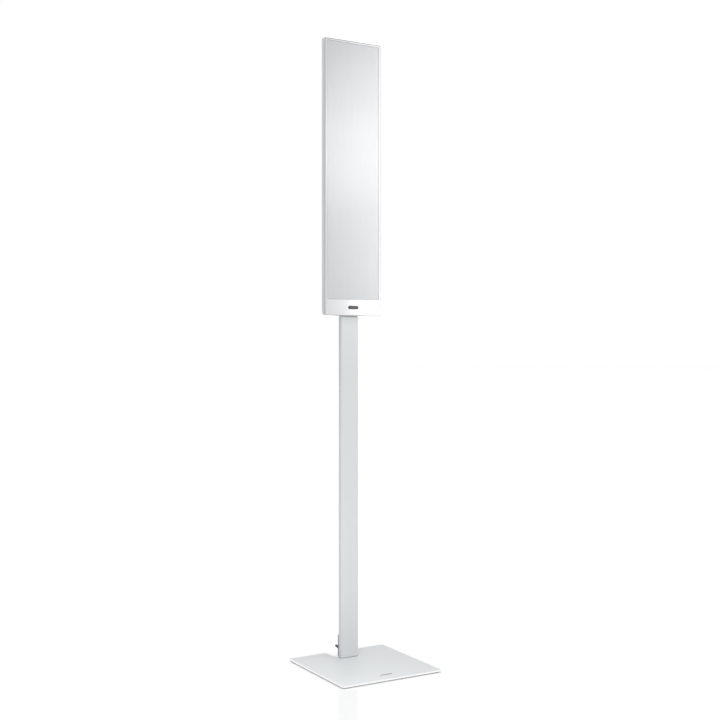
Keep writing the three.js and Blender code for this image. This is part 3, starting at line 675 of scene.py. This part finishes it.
def pan_screw(node, seat, direction, shank, head, length, slot="screw_steel", material=M["steel"]):
    """A pan-head screw along Y; its head, (radius, height), stands on y = seat, towards direction."""
    x, _, z = middle_of(node)
    radius, height = head
    crown = [
        (0, height, 0), (radius * 0.62, height, 0.9), (radius, height * 0.45, 0.35), (radius, 0, 0.12),
        (shank, 0, 0),
    ]
    step = 0.12
    turns = int((length - 1.2) / step)
    outline = fillet(crown, 5, False)
    outline += [(shank, -step * k) for k in range(1, turns)]
    outline += [(shank * 0.98, -length + 1.0), (0, -length)]
    placed = [(r, seat + direction * y) for r, y in outline]
    screw = lathe(node + "_body", placed, (x, 0, z), 48, radius_at=threaded(shank, 0.6, 0.16))

    def place(a, b, c):
        return (a + x, seat + direction * c, b + z)

    combine(screw, [cross_cutter(radius * 0.62, 0.8 * height, height, place)])
    finish_piece(screw, slot, node, material)


def sunk_screw(node):
    """A countersunk socket screw that stands up into the post from below."""
    low, high = span(node)
    x, y, _ = middle_of(node)
    length = high.z - low.z
    shank, step = 1.9, 0.14
    outline = [(0, 0), (3.8, 0), (4.0, 0.15), (4.0, 0.3), (shank, 2.3)]
    outline += [(shank, 2.3 + step * k) for k in range(1, int((length - 3.6) / step))]
    outline += [(1.85, length - 0.9), (1.2, length), (0, length)]
    screw = lathe(node + "_body", outline, (x, y, low.z), 36, along_z, threaded(shank, 0.7, 0.2))
    hexagon = arc((x, y), 1.6, 0, 300, 5)
    combine(screw, [prism("cutter", hexagon, low.z - 1, low.z + 1.6)])
    finish_piece(screw, "screw_steel", node, M["steel"])


# ---- terminals

STUD_RADIUS, STUD_PITCH = 1.95, 0.7
CLEAR = 2.15  # the holes' radius round a stud
STUD_X = span("terminal_stud_positive")[1].x - 3.0
STUD_Z = middle_of("terminal_stud_negative")[2]
PANEL_REAR = span("terminal_panel")[1].y
NUT_RADIUS, NUT_RIDGES, RIDGE_DEPTH = 4.4, 24, 0.42
RIDGES_START, RIDGES_END = 5.9, 15.9


def build_terminal_panel():
    panel = slab("terminal_panel_body", "terminal_panel", 1.2, 5)
    dish_outline = rounded_box(19.4, 10.6, 3.0, (0, STUD_Z), 6)
    through = span("terminal_panel")[0].y - 1, PANEL_REAR + 1
    cutters = [
        prism("cutter", dish_outline, PANEL_REAR - 0.5, PANEL_REAR + 1, along_y),
        *[bore(CLEAR, *through, (x, 0, STUD_Z), 36) for x in (-STUD_X, STUD_X)],
        *[bore(1.6, *through, (x, 0, PANEL_SCREW_Z), 28) for x in (-POST_X, POST_X)],
    ]
    combine(panel, cutters)
    soften(panel, 0.3, 2)
    finish_piece(panel, "panel_plastic", "terminal_panel", M["panel"])


def build_pole_mark(pole, x):
    """A raised boss that carries a terminal out of the dish, and a bar or a cross that marks its pole."""
    boss = [(2.3, -0.6, 0), (6.4, -0.6, 0), (6.4, -0.12, 0.15), (6.1, -0.02, 0.1), (2.3, -0.02, 0)]
    ring = lathe(f"terminal_boss_{pole}", shifted(fillet(boss, 3), PANEL_REAR), (x, 0, STUD_Z), 56)
    finish_piece(ring, "panel_plastic", None, M["panel"])
    half, radius, place = (1.7, 0.4), 0.35, (x, STUD_Z + 13.2)
    depths = PANEL_REAR - 0.05, PANEL_REAR + 0.25
    bar = prism(f"pole_bar_{pole}", rounded_box(*half, radius, place, 4), *depths, along_y)
    if pole == "positive":
        upright = rounded_box(*reversed(half), radius, place, 4)
        combine(bar, [prism("cutter", upright, *depths, along_y)], "UNION")
    soften(bar, 0.06, 1)
    finish_piece(bar, "panel_plastic", None, M["pale_ink"])


def terminal_part(part, pole, outline, segments, slot, material, angle=40, body="speaker", radius_at=None):
    """A turned part on a terminal's axis; depths count from the panel's rear face."""
    node = f"terminal_{part}_{pole}"
    axis = (STUD_X if pole == "positive" else -STUD_X, 0, STUD_Z)
    made = lathe(node + "_body", shifted(outline, PANEL_REAR), axis, segments, radius_at=radius_at)
    finish_piece(made, slot, node, material, angle, body)


def ridges(r, y, turn):
    """The radius of a nut's grip, ridged round its middle stretch."""
    depth = y - PANEL_REAR
    if r < NUT_RADIUS - 0.05 or not RIDGES_START < depth < RIDGES_END:
        return r
    ends = min(1.0, (depth - RIDGES_START) / 0.6, (RIDGES_END - depth) / 0.6)
    wave = 0.5 - 0.5 * cos(NUT_RIDGES * turn)
    return r - RIDGE_DEPTH * ends * wave**1.6


def build_binding_post(pole, cap):
    """A threaded stud, flanged behind the panel, with a collar, a washer and a ridged thumb nut."""
    metal = ("terminal_metal", M["nickel"])
    moulding = ("terminal_" + cap, M["cap_" + cap])
    stud = [(0, -10), (1.1, -10), (1.2, -9.8), (1.2, -6.5), (3.0, -6.5), (3.0, -3.05), (STUD_RADIUS, -3.05)]
    stud += [(STUD_RADIUS, -3.0 + 0.1 * k) for k in range(1, 196)]
    stud += [(1.9, 16.8), (1.6, 17.0), (0, 17.0)]
    thread = threaded(STUD_RADIUS, STUD_PITCH, 0.22)
    terminal_part("stud", pole, stud, 40, *metal, 50, radius_at=thread)

    collar = [
        (CLEAR, 0.02, 0), (5.4, 0.02, 0.1), (5.4, 1.3, 0.15), (5.0, 1.6, 0.1), (5.0, 2.0, 0.1),
        (5.4, 2.3, 0.15), (5.4, 3.4, 0.3), (4.8, 4.0, 0.2), (CLEAR, 4.0, 0.1),
    ]
    terminal_part("collar", pole, fillet(collar, 4), 72, *moulding)

    washer = [(CLEAR, 4.1, 0.1), (3.9, 4.1, 0.15), (3.9, 5.1, 0.15), (CLEAR, 5.1, 0.1)]
    terminal_part("washer", pole, fillet(washer, 4), 64, *metal, body="washer_" + pole)

    grip = [(NUT_RADIUS, 6.1 + 0.8 * k, 0) for k in range(13)]
    nut = [
        (CLEAR, 5.2, 0), (4.0, 5.2, 0.2), (NUT_RADIUS, 5.7, 0.2), *grip,
        (NUT_RADIUS, RIDGES_END, 0.3), (4.0, 16.6, 0.3), (2.9, 18.3, 1.0), (2.62, 27.6, 0.5),
        (2.1, 28.6, 0.3), (1.3, 28.6, 0.15), (1.1, 28.1, 0.1), (0, 28.1, 0),
    ]
    outline = fillet(nut, 5, False) + [(0, 24.0), (1.9, 24.0), (CLEAR, 23.8)]
    terminal_part("nut", pole, outline, NUT_RIDGES * 10, *moulding, 50, "nut_" + pole, ridges)


def build_terminals():
    build_terminal_panel()
    build_pole_mark("negative", -STUD_X)
    build_pole_mark("positive", STUD_X)
    for side in ("left", "right"):
        pan_screw(f"panel_screw_{side}", PANEL_REAR + 0.02, 1, 1.2, (2.6, 1.6), 7.5)
    build_binding_post("negative", "black")
    build_binding_post("positive", "red")
    for side in ("left", "right"):
        sunk_screw("base_screw_" + side)


# ---- cabinet

FRAME_RAIL, FRAME_STRIP, FRAME_WALL = 4.5, 35.0, 2.5
WALL, END_WALL = 2.5, 3.0
SIDE_END, BACK_CORNER = 14.0, 6.0
BAY_HALF, BAY_FLOOR, BAY_TOP, BAY_WALL = 25.0, 16.0, 150.0, 2
UNDERSIDE_RISE, BEVEL_X = 31, 51  # the underside's bevel is lower than the first, the rear's further out


def cabinet_plan(wall, front):
    """The cabinet's plan: straight sides, then a rounded turn into 45 degree bevels and a flat back."""
    side = HEAD_HALF - wall
    bend = BACK_CORNER - wall
    middle = HEAD_HALF - BACK_CORNER
    back = HEAD_DEPTH - wall
    diagonal = bend / sqrt(2)
    back_half = middle + 2 * diagonal - (back - SIDE_END)
    right = [(side, front), *arc((middle, SIDE_END), bend, 0, 45, 10), (back_half, back)]
    left = [(-x, y) for x, y in reversed(right)]
    return [(x, y + HEAD_Y) for x, y in right + left]


def underside_body(wall):
    """What the underside leaves of the cabinet: flat, then rounded into a bevel."""
    bend = BACK_CORNER - wall
    front = frame_high.y - HEAD_Y + 0.02
    past = HEAD_DEPTH + 1
    above = HEAD_TOP - HEAD_Z + 1
    diagonal = bend / sqrt(2)
    rise = BACK_CORNER - 2 * diagonal + past - front
    turn = arc((front, BACK_CORNER), bend, -90, -45, 10)
    profile = [(-1, above), (-1, wall), *turn, (past, rise), (past, above)]
    placed = [(y + HEAD_Y, z + HEAD_Z) for y, z in profile]
    return prism("cutter", placed, -HEAD_HALF * 2, HEAD_HALF * 2, along_x)


def head_block(half, y0, y1, z0, z1):
    """A cutter across the head, placed from its lower front edge."""
    return block(-half, half, y0 + HEAD_Y, y1 + HEAD_Y, z0 + HEAD_Z, z1 + HEAD_Z)


def build_shell():
    """A thin bevelled shell with a bay in its back for the bracket, and a slot for it underneath."""
    shell = prism("cabinet_shell", cabinet_plan(0, SHELL_FRONT), HEAD_Z, HEAD_TOP)
    combine(shell, [underside_body(0)], "INTERSECT")
    hollow_plan = cabinet_plan(WALL, SHELL_FRONT - 1)
    hollow = prism("cutter", hollow_plan, HEAD_Z + END_WALL, HEAD_TOP - END_WALL)
    combine(hollow, [underside_body(WALL)], "INTERSECT")
    combine(shell, [hollow])
    lining = head_block(BAY_HALF + BAY_WALL, BAY_FLOOR - BAY_WALL, HEAD_DEPTH, 0, BAY_TOP + BAY_WALL)
    combine(shell, [lining], "UNION")
    post_front = span("post_extrusion")[0].y - HEAD_Y
    bay = head_block(BAY_HALF, BAY_FLOOR, HEAD_DEPTH + 1, END_WALL, BAY_TOP)
    slot = head_block(19.5, post_front + 1.2, post_front + 11.5, -1, END_WALL + 1)
    combine(shell, [bay, slot])

    def outside(p):
        return abs(p.x) > HEAD_HALF - 0.01 or p.z > HEAD_TOP - 0.01 or p.z < HEAD_Z + 0.01

    def in_front(a, b):
        return max(a.y, b.y) < HEAD_Y + SHELL_FRONT + 0.01

    def outer_edges(a, b):
        on_top = min(a.z, b.z) > HEAD_TOP - 0.01
        clear_of_bay = min(abs(a.x), abs(b.x)) > BAY_HALF + BAY_WALL + 0.5
        below = max(a.z, b.z) < HEAD_Z + UNDERSIDE_RISE and clear_of_bay
        at_side = outside(a) or outside(b) or abs(a.x) > BEVEL_X
        return not in_front(a, b) and (on_top or (below and at_side))

    def front_edges(a, b):
        return in_front(a, b) and outside(a) and outside(b)

    def bay_edges(a, b):
        in_back = min(a.y, b.y) > HEAD_Y + HEAD_DEPTH - 0.01 and max(abs(a.x), abs(b.x)) < BAY_HALF + 0.3
        return in_back and min(a.z, b.z) > HEAD_Z + END_WALL - 0.1

    soften(shell, 0.8, 3, outer_edges)
    soften(shell, 0.5, 3, front_edges)
    soften(shell, 0.25, 2, bay_edges)
    finish_piece(shell, "shell_satin", "rear_shell", M["shell"], 35)


def build_front_frame():
    """A lacquered frame round the grille, with a bright chamfer and a plain strip below."""
    low, high = frame_low, frame_high
    half = HEAD_HALF
    window = (half - FRAME_RAIL, low.z + FRAME_STRIP, high.z - FRAME_RAIL)
    outline = [(-half, low.z), (half, low.z), (half, high.z), (-half, high.z)]
    bezel = prism("front_frame_body", outline, low.y, high.y, along_y)
    opening = block(-window[0], window[0], low.y - 1, high.y + 1, window[1], window[2])
    wall = FRAME_WALL
    pocket = block(wall - half, half - wall, low.y + wall, high.y + 1, low.z + wall, window[1] - wall)
    combine(bezel, [opening, pocket])

    def on_outline(*ends):
        """Whether all the ends lie on the frame's outer sides, top or underside."""
        return all(abs(p.x) > half - 0.01 or not low.z + 0.01 <= p.z <= high.z - 0.01 for p in ends)

    def corner_posts(a, b):
        return abs(a.y - b.y) > 1 and on_outline(a, b)

    def front_outline(a, b):
        return max(a.y, b.y) < low.y + 0.01 and on_outline(a, b)

    def in_window(p):
        return abs(p.x) < window[0] + 0.01 and window[1] - 0.01 < p.z < window[2] + 0.01

    def window_rim(a, b):
        return in_window(a) and in_window(b) and max(a.y, b.y) < low.y + 0.01

    def rear_outline(a, b):
        return min(a.y, b.y) > high.y - 0.01 and on_outline(a, b)

    soften(bezel, 1.2, 1, front_outline, material=1)
    soften(bezel, 0.3, 3, corner_posts)
    soften(bezel, 0.15, 2, window_rim)
    soften(bezel, 0.5, 3, rear_outline, angle=60)
    finish_piece(bezel, "frame_gloss", "front_frame", [M["gloss"], M["trim"]])


def build_badge():
    """A plain dark pill on the strip below the grille."""
    front = span("badge")[0].y
    plaque = slab("badge_body", "badge", half_of("badge")[2] - 0.01, 12)
    soften(plaque, 0.22, 3, lambda a, b: max(a.y, b.y) < front + 0.01)
    finish_piece(plaque, "badge_black", "badge", M["badge"])


def build_bay_cover():
    """The vented cover of the bracket bay, and its screw."""
    low, high = span("bay_cover")
    cover = slab("bay_cover_body", "bay_cover", 1.2, 5)
    through = low.y - 1, high.y + 1
    vent_z, vent_pitch = HEAD_Z + 32, 6.0
    vents = [rounded_box(1.0, 12.0, 0.95, (vent_pitch * i, vent_z), 5) for i in range(-2, 3)]
    hole = bore(1.5, *through, (0, 0, middle_of("cover_screw")[2]), 32)
    combine(cover, [*[prism("cutter", vent, *through, along_y) for vent in vents], hole])
    soften(cover, 0.25, 2)
    finish_piece(cover, "shell_satin", "bay_cover", M["shell"])
    pan_screw("cover_screw", high.y + 0.02, 1, 1.1, (2.4, 1.2), 9.0)


def build_baffle():
    eased("baffle", 0.25, "inner_plastic", M["inner"])
    seat = span("baffle")[0].y - 0.02
    for side in ("lower_left", "lower_right", "upper_left", "upper_right"):
        pan_screw(f"baffle_screw_{side}", seat, -1, 1.2, (2.8, 1.6), 12, "screw_black", M["black_steel"])


# ---- grille

CLOTH_THICKNESS, CLOTH_BEND, HEM = 0.4, 0.25, 4.4
CORNER_STEPS, CLOTH_STEP = 4, 6.0
FRAME_DEPTH = 2.4


def cloth_loop(inset, depth):
    """A rounded rectangle round the cloth with evenly spaced points, the same count at every inset."""
    half_x, _, half_z = half_of("grille_cloth")
    count_x = int(2 * half_x / CLOTH_STEP)
    count_z = int(2 * half_z / CLOTH_STEP)
    radius = max(0.25, 1.1 - inset)
    a, b = half_x - inset - radius, half_z - inset - radius
    corners = [(a, -b), (a, b), (-a, b), (-a, -b)]
    points = []
    for i, start in enumerate(corners):
        end, count, turn = corners[(i + 1) % 4], (count_z, count_x)[i % 2], 90 * i
        out_x, out_z = radius * cos(radians(turn)), radius * sin(radians(turn))
        for k in range(count + 1):
            t = k / count
            x = start[0] + (end[0] - start[0]) * t
            z = start[1] + (end[1] - start[1]) * t
            points.append((x + out_x, z + out_z))
        points += arc(end, radius, turn, turn + 90, CORNER_STEPS)[1:-1]
    middle_z = middle_of("grille_cloth")[2]
    return [(x, depth, z + middle_z) for x, z in points]


def build_grille():
    """One sheet of cloth over the grille's frame: its face, the folds round the edge, the hem behind."""
    front = span("grille_cloth")[0].y
    back = span("grille_frame")[0].y + FRAME_DEPTH
    hem_y = back + 0.15
    section = arc((CLOTH_BEND, front + CLOTH_BEND), CLOTH_BEND, 270, 180, 6)
    section += [(0, back - 0.2), (0.25, hem_y), (HEM, hem_y)]
    loops = [cloth_loop(CLOTH_BEND + 1.2, front), *[cloth_loop(inset, depth) for inset, depth in section]]
    size = len(loops[0])
    vertices = [point for loop in loops for point in loop]
    faces = [
        (i * size + k, i * size + (k + 1) % size, (i + 1) * size + (k + 1) % size, (i + 1) * size + k)
        for i in range(len(loops) - 1)
        for k in range(size)
    ]
    faces.append(tuple(range(size)))
    cloth = new_object("grille_cloth_sheet", vertices, faces)
    thick = cloth.modifiers.new("thickness", "SOLIDIFY")
    thick.thickness = CLOTH_THICKNESS * MM
    thick.offset = -1
    bpy.context.view_layer.update()
    evaluated(cloth)
    finish_piece(cloth, "grille_cloth", "grille_cloth", M["cloth"], 60, "grille")


# ---- drivers

FLANGE_FRONT, FLANGE_BACK = 6.5, 7.98
COIL_RADIUS = 19.6


def driver(name, outline, z, slot, node, material, body="speaker", closed=True):
    """A turned driver part at height z; depths count from the head's front face."""
    made = lathe(name, shifted(fillet(outline, 4, closed), HEAD_Y), (0, 0, z), 128)
    finish_piece(made, slot, node, material, 45, body)


def stretch(obj, moving, z, inner, outer):
    """Blends a round part between two bodies: moving inside one radius, the speaker outside the other."""
    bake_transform(obj, "speaker", moving, start=(0, 0, 0), end=(0, 0, 1))
    co = np.array([v.co for v in obj.data.vertices], float)
    radius = np.hypot(co[:, 0], co[:, 2] - z * MM) / MM
    t = np.clip((outer - radius) / (outer - inner), 0, 1)
    weight = (t * t * (3 - 2 * t)).astype(np.float32)
    obj.data.attributes["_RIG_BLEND"].data.foreach_set("value", weight)


def build_surround(woofer, z):
    """A half-roll of rubber from the diaphragm's rim to the basket's flange."""
    front = arc((47.5, 5.9), 3.3, 180, 360, 24)
    back = arc((47.5, 6.4), 2.85, 360, 180, 24)
    lip = [(52.4, 5.9), (52.8, 6.0), (53, 6.2), (53, 6.4)]
    profile = [(42.6, 5.9), *front, *lip, *back, (42.6, 6.4)]
    roll = lathe(f"{woofer}_surround_roll", shifted(profile, HEAD_Y), (0, 0, z), 128)
    finish_piece(roll, "surround_rubber", f"{woofer}_surround", M["roll"], 45, None)
    stretch(roll, f"{woofer}_cone", z, 43.5, 51.5)


def build_diaphragm(woofer, z):
    """A shallow dished skin in front, a cone behind it, and the coil former at the cone's neck."""
    centre, sag, rim = 6.95, 0.42, 43
    dish = [(r, centre - sag * (r / rim) ** 2, 0) for r in (0, 6, 12, 18, 24, 30, 36, 40)]
    dish += [(43.2, 6.5, 0.2), (44, 6.6, 0.2), (44, 7.5, 0.2)]
    dish += [(20.6, 15.2, 0.3), (20.6, 16.2, 0), (COIL_RADIUS, 16.2, 0), (COIL_RADIUS, 14.6, 0.3)]
    dish += [(41.5, 7.5, 0), (0, 7.9, 0)]
    cone = f"{woofer}_cone"
    driver(f"{woofer}_cone_skin", dish, z, "cone_alloy", f"{woofer}_diaphragm", M["cone"], cone, False)
    coil = [
        (COIL_RADIUS, 16.3, 0), (20.2, 16.3, 0), (20.2, 20, 0), (20.9, 20, 0.1), (20.9, 26.5, 0.1),
        (COIL_RADIUS, 26.5, 0),
    ]
    driver(f"{woofer}_voice_coil", coil, z, "copper_wire", f"{woofer}_coil", M["copper"], cone)


def build_spider(woofer, z):
    """A corrugated web that centres the coil in the basket."""
    waves, steps = 5, 60
    turns = [k / steps for k in range(steps + 1)]
    crests = [(21 + 14.9 * t, 15.4 + 3.0 * t - 0.55 * sin(2 * pi * waves * t)) for t in turns]
    profile = [*crests, *shifted(reversed(crests), 0.45)]
    web = lathe(f"{woofer}_spider_web", shifted(profile, HEAD_Y), (0, 0, z), 96)
    finish_piece(web, "spider_weave", f"{woofer}_spider", M["spider"], 50, None)
    stretch(web, f"{woofer}_cone", z, 21.5, 35)


def build_woofer(woofer):
    z = middle_of(f"{woofer}_diaphragm")[2]
    basket = [
        (24.6, 19, 0.2), (36.5, 19, 0.4), (36.5, 17.2, 0.6), (50.5, 9.3, 0.6), (50.5, FLANGE_FRONT, 0.2),
        (57.4, FLANGE_FRONT, 0.5), (58, 7.1, 0.3), (58, FLANGE_BACK, 0), (52.2, FLANGE_BACK, 0.1),
        (52.2, 10, 0.5), (38, 18, 0.5), (38, 20.5, 0.3), (24.6, 20.5, 0.3),
    ]
    driver(f"{woofer}_basket_body", basket, z, "basket_black", f"{woofer}_basket", M["basket"])
    build_surround(woofer, z)
    build_diaphragm(woofer, z)
    build_spider(woofer, z)
    magnet = [
        (0, 20.7, 0), (19, 20.7, 0.2), (19, 23.5, 0), (18, 23.5, 0), (18, 29.5, 0), (21.6, 29.5, 0),
        (21.6, 20.7, 0.2), (26, 20.7, 0.5), (26.5, 21.4, 0.3), (26.5, 31.5, 0.4), (25.8, 32, 0.3),
        (0, 32, 0),
    ]
    node = f"{woofer}_magnet"
    driver(node + "_yoke", magnet, z, "magnet_steel", node, M["magnet"], closed=False)


def build_tweeter():
    z = middle_of("tweeter_plate")[2]
    plate = [
        (17, 8, 0.5), (24, FLANGE_FRONT, 2.0), (35.4, FLANGE_FRONT, 0.4), (36, 7.1, 0.3),
        (36, FLANGE_BACK, 0), (21.8, FLANGE_BACK, 0), (21.8, 10.8, 0.3), (13.6, 10.8, 0),
        (13.6, 9.6, 0.3),
    ]
    driver("tweeter_waveguide", plate, z, "inner_plastic", "tweeter_plate", M["inner"])

    def bowl(radius, rim, rise):
        """Half an ellipse from the axis to the rim."""
        turns = [radians(a) for a in range(6, 91, 6)]
        return [(0, rim - rise, 0), *[(radius * sin(t), rim - rise * cos(t), 0) for t in turns]]

    outside, inside = bowl(12.4, 9.8, 3.2), bowl(11.9, 9.9, 2.8)
    dome = [*outside, (12.4, 14.6, 0), (11.9, 14.6, 0), *reversed(inside)]
    driver("tweeter_dome_skin", dome, z, "cone_alloy", "tweeter_dome", M["cone"], "tweeter_cone", False)


# ---- inside the cabinet

KEPT_NODES = {
    "steel": [
        "bracket_screw_left", "bracket_screw_right", "head_fixing_screw_lower", "head_fixing_screw_upper"
    ],
    "jacket": ["post_lead", "wiring_loom"],
    "board": ["crossover_board"],
    "copper": ["crossover_inductor"],
    "sleeve": ["crossover_capacitor"],
    "inner": ["head_terminal_block", "grille_frame"],
    "magnet": ["tweeter_magnet"],
}


def finish_kept_nodes():
    """CAD nodes whose shapes stay, with finished materials."""
    for material, nodes in KEPT_NODES.items():
        for node in nodes:
            data = NODES[node].data
            data.materials.clear()
            data.materials.append(M[material])


def build_wadding():
    """A crowned, slightly lumpy pad that fills its box."""
    half, centre = half_of("wadding"), middle_of("wadding")

    def shape(bm):
        bmesh.ops.create_cube(bm, size=2)
        bmesh.ops.subdivide_edges(bm, edges=bm.edges[:], cuts=21, use_grid_fill=True)
        for vertex in bm.verts:
            x, y, z = vertex.co / sum(abs(c) ** 5 for c in vertex.co) ** (1 / 5)
            lump = 1 - 0.03 * (1 + sin(9 * x + 2) * sin(7 * z) * cos(5 * y))
            vertex.co = [(centre[i] + half[i] * c * lump) * MM for i, c in enumerate((x, y, z))]

    pad = edit(new_object("wadding_pad", [], []), shape)
    finish_piece(pad, "wadding_wool", "wadding", M["wool"], 80)


# ---- studio

WHITE = (1, 1, 1, 1)


def plain_card(name, corners, finish_name, values):
    """A flat card of the studio, with one plain finish."""
    card = new_object(name, corners, [(0, 1, 2, 3)])
    finish = bpy.data.materials.new(finish_name)
    finish.use_nodes = True
    for key, value in values.items():
        finish.node_tree.nodes["Principled BSDF"].inputs[key].default_value = value
    card.data.materials.append(finish)
    return card


def flag(name, corners):
    """A grey card that only reflections show, so that the rounded edges read against the white."""
    felt = {"Base Color": (0.12, 0.12, 0.12, 1), "Roughness": 1.0}
    card = plain_card(name, corners, name + "_felt", felt)
    for ray in ("camera", "diffuse", "transmission", "volume_scatter", "shadow"):
        setattr(card, "visible_" + ray, False)


def build_sky():
    """A soft white surround, dimmer overhead and at both sides, that the camera sees as plain white."""
    world = bpy.data.worlds.new("soft_white_studio")
    SCENE.world = world
    g = Graph(world)
    parts = g.node("SeparateXYZ", {0: g.coordinates["Generated"]}).outputs
    left = g.span(parts["X"], 0.8, 1.0, -0.85, 0.1, "SMOOTHSTEP")
    right = g.span(parts["X"], 1.0, 0.85, 0.7, 0.95, "SMOOTHSTEP")
    above = g.span(parts["Z"], 1.0, 0.65, 0.35, 0.85, "SMOOTHSTEP")
    strength = g.times(g.times(left, right), above)
    to_camera = g.node("LightPath").outputs["Is Camera Ray"]
    picked = g.node("Mix", {0: to_camera, 2: strength, 3: 1.02}, data_type="FLOAT").outputs[0]
    background = g.tree.nodes["Background"].inputs
    background["Color"].default_value = WHITE
    g.join(picked, background["Strength"])


def softbox(name, size, place, aim, power, tilt=0, only=(), glossy=True):
    """A soft lamp that the camera doesn't see, placed in metres: a rectangle, or a broad sun without a size.

    It lights everything, or the objects in only; reflections show it where glossy is set.
    """
    light = bpy.data.lights.new(name, "AREA" if size else "SUN")
    light.energy = power
    if size:
        light.shape = "RECTANGLE"
        light.size, light.size_y = size
    else:
        light.angle = radians(100)
    lamp = bpy.data.objects.new(name, light)
    SCENE.collection.objects.link(lamp)
    lamp.location = place
    turn = (Vector(aim) - Vector(place)).to_track_quat("-Z", "Y")
    lamp.rotation_euler = (turn @ Quaternion((0, 0, 1), radians(tilt))).to_euler()
    lamp.visible_camera = False
    lamp.visible_glossy = glossy
    if only:
        lit = bpy.data.collections.new(name + "_lights")
        for obj in only:
            lit.objects.link(obj)
        lamp.light_linking.receiver_collection = lit


def build_lamps(floor):
    """The lamps that grade the cloth from grey to white, and lift the strip, the stand and the floor."""
    pieces = bpy.data.objects
    stand = [pieces[n] for n in ("base_plate_body", "post_body", "terminal_panel_body")]
    strip = [pieces["front_frame_body"]]
    softbox("floor_sun", None, (0.0, 0.0, 3.5), (0, 0.001, 0), 1.2, only=[floor], glossy=False)
    softbox("cloth_softbox", (0.3, 0.78), (0.37, -0.31, 1.13), (0.117, 0.1215, 1.13), 1.15)
    softbox("cloth_middle_softbox", (0.2, 0.25), (0.2, -0.385, 1.2), (0.0, 0.0, 1.2), 0.2)
    softbox("strip_softbox", (0.16, 0.07), (0.313, -0.345, 0.795), (0.06, 0.085, 0.795), 0.12, -17, strip)
    softbox("low_softbox", (0.3, 0.25), (-0.34, -0.5, 0.3), (-0.07, -0.06, 0.08), 2.1, 0, stand, False)


def build_flags():
    """Cards to the right of the head, above it and behind it."""
    right, back, foot, top = 330, 560, 720, 1640
    flag("right_flag", [(right, -60, foot), (right, -60, 1560), (right, back, 1560), (right, back, foot)])
    flag("top_flag", [(-250, -150, top), (-250, back, top), (right, back, top), (right, -150, top)])
    flag("rear_flag", [(-280, back, foot), (-280, back, top), (right, back, top), (right, back, foot)])


def build_camera():
    """The photo's camera, level, a little below the middle of the speaker."""
    camera = bpy.data.cameras.new("camera")
    camera.lens = 56.395
    camera.sensor_width = 36
    camera.shift_y = -0.01125
    eye = bpy.data.objects.new("camera", camera)
    SCENE.collection.objects.link(eye)
    eye.location = (-1.2361, -2.0917, 0.6774)  # fitted to the photo, like the lens, shift and turn
    eye.rotation_euler = (radians(90), 0, radians(-30.37))
    SCENE.camera = eye


def build_studio():
    far = 40000
    corners = [(-far, -far, 0), (far, -far, 0), (far, far, 0), (-far, far, 0)]
    gloss = {"Base Color": (0.9, 0.9, 0.9, 1), "Roughness": 0.1, "IOR": 1.9}
    glow = {"Emission Color": WHITE, "Emission Strength": 0.02}
    floor = plain_card("studio_floor", corners, "pale_gloss_floor", gloss | glow)
    build_sky()
    build_lamps(floor)
    build_flags()
    SCENE.view_settings.view_transform = "Standard"
    SCENE.view_settings.look = "None"
    build_camera()


build_base()
build_post()
build_terminals()
build_shell()
build_front_frame()
build_badge()
build_bay_cover()
build_baffle()
build_grille()
for woofer in ("woofer_upper", "woofer_lower"):
    build_woofer(woofer)
build_tweeter()
finish_kept_nodes()
build_wadding()
build_studio()
